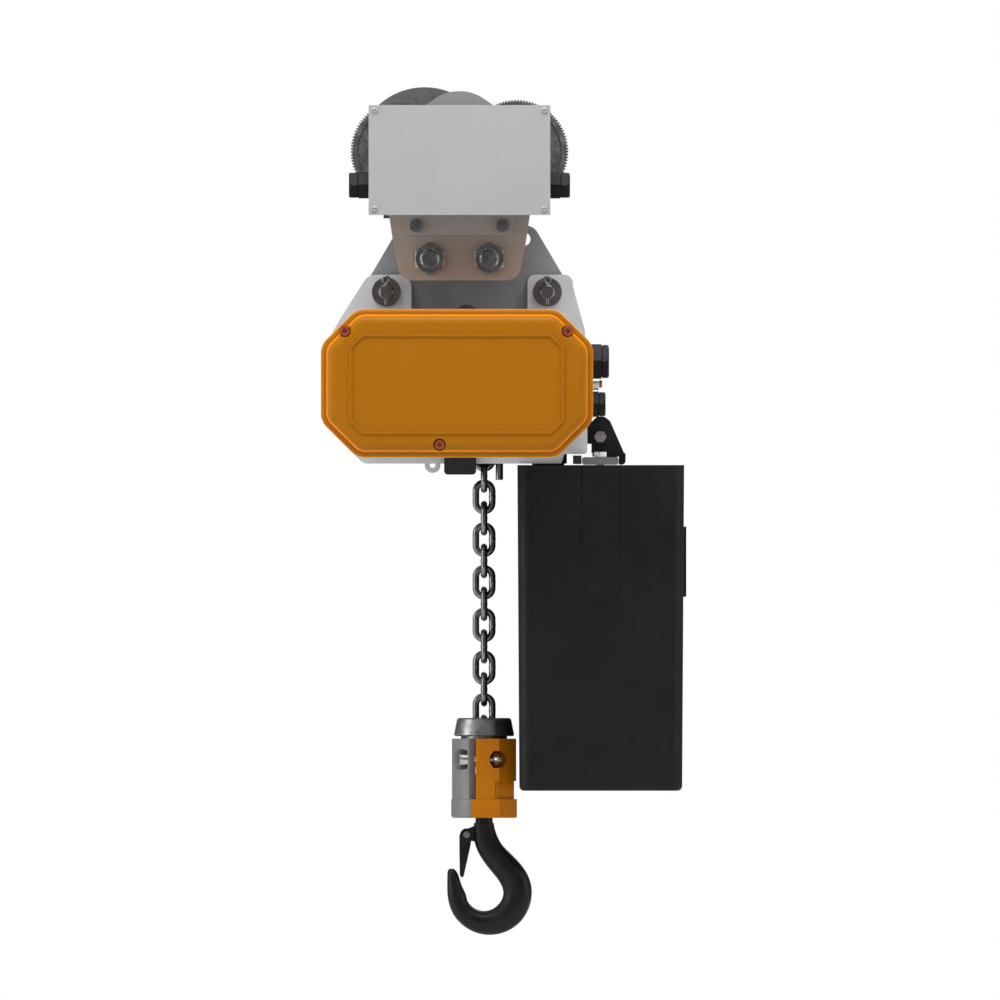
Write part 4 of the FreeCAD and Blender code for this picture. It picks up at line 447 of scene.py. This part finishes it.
FLOOR_DROP = 0.095       # the hoist hangs this far above the floor
FLOOR_HALF = 6
low, high = CAD_BOX
centre = (low + high) / 2
floor_z = low.z - FLOOR_DROP
floor_look = Surface("floor_plaster", 0.85, specular=0.2)
floor_patches = floor_look.ramp(floor_look.noise(3, 4), 0.0, 1.0)
floor_look.colour(floor_look.mix(floor_patches, (0.86, 0.86, 0.86), (0.90, 0.90, 0.90)))
corners = ((-1, -1), (1, -1), (1, 1), (-1, 1))
stage_mesh("floor", [(x * FLOOR_HALF, y * FLOOR_HALF, floor_z) for x, y in corners], [(0, 1, 2, 3)],
           floor_look.material)


def soft_box(name, place, aim, size, power, mirrored=True):
    """A rectangular lamp that points at aim; one that isn't mirrored gives no highlight on gloss."""
    lamp = bpy.data.lights.new(name, "AREA")
    lamp.shape = "RECTANGLE"
    lamp.size, lamp.size_y = size
    lamp.energy = power
    made = bpy.data.objects.new(name, lamp)
    made.location = place
    made.rotation_euler = (Vector(aim) - Vector(place)).to_track_quat("-Z", "Y").to_euler()
    made.visible_glossy = mirrored
    bpy.context.scene.collection.objects.link(made)


soft_box("top_light", (centre.x, -0.8, 1.3), (centre.x, 0, -0.15), (2.0, 1.0), 38)
soft_box("front_light", (centre.x - 0.3, -3.4, 0.2), (centre.x, 0, -0.25), (2.6, 2.2), 21, mirrored=False)
soft_box("left_light", (-1.7, -0.6, 0.0), (0, 0, -0.25), (0.8, 1.6), 18)
soft_box("right_light", (1.8, -0.6, 0.0), (0, 0, -0.25), (0.8, 1.6), 10)
soft_box("back_light", (0.6, 2.2, 0.9), (0, 0, -0.3), (1.6, 1.6), 14)

world = bpy.data.worlds.new("studio")
bpy.context.scene.world = world
world.use_nodes = True
tree = world.node_tree
tree.nodes.clear()
# a dim floor and a brighter ceiling for reflections, and plain white behind the object
output = tree.nodes.new("ShaderNodeOutputWorld")
heading = tree.nodes.new("ShaderNodeTexCoord")
parts = tree.nodes.new("ShaderNodeSeparateXYZ")
rise = tree.nodes.new("ShaderNodeMapRange")
rise.inputs["From Min"].default_value = -0.4
rise.inputs["To Min"].default_value = 0.07
rise.inputs["To Max"].default_value = 0.5
fill = tree.nodes.new("ShaderNodeBackground")
fill.inputs["Color"].default_value = (0.97, 0.985, 1.0, 1.0)
plain = tree.nodes.new("ShaderNodeBackground")
plain.inputs["Color"].default_value = (1.0, 1.0, 1.0, 1.0)
path = tree.nodes.new("ShaderNodeLightPath")
pick = tree.nodes.new("ShaderNodeMixShader")
tree.links.new(heading.outputs["Generated"], parts.inputs["Vector"])
tree.links.new(parts.outputs["Z"], rise.inputs["Value"])
tree.links.new(rise.outputs["Result"], fill.inputs["Strength"])
tree.links.new(path.outputs["Is Camera Ray"], pick.inputs["Fac"])
tree.links.new(fill.outputs["Background"], pick.inputs[1])
tree.links.new(plain.outputs["Background"], pick.inputs[2])
tree.links.new(pick.outputs["Shader"], output.inputs["Surface"])
bpy.context.scene.view_settings.view_transform = "Standard"

CAMERA_Y = -4
CAMERA_SHIFT_X = -0.0037
CAMERA_SHIFT_Z = 0.0115
lens = bpy.data.cameras.new("camera")
lens.type = "ORTHO"
lens.ortho_scale = 1.04
lens.clip_end = 20
camera = bpy.data.objects.new("camera", lens)
camera.location = (centre.x + CAMERA_SHIFT_X, CAMERA_Y, centre.z + CAMERA_SHIFT_Z)
camera.rotation_euler = (math.radians(90), 0, 0)
bpy.context.scene.collection.objects.link(camera)
bpy.context.scene.camera = camera
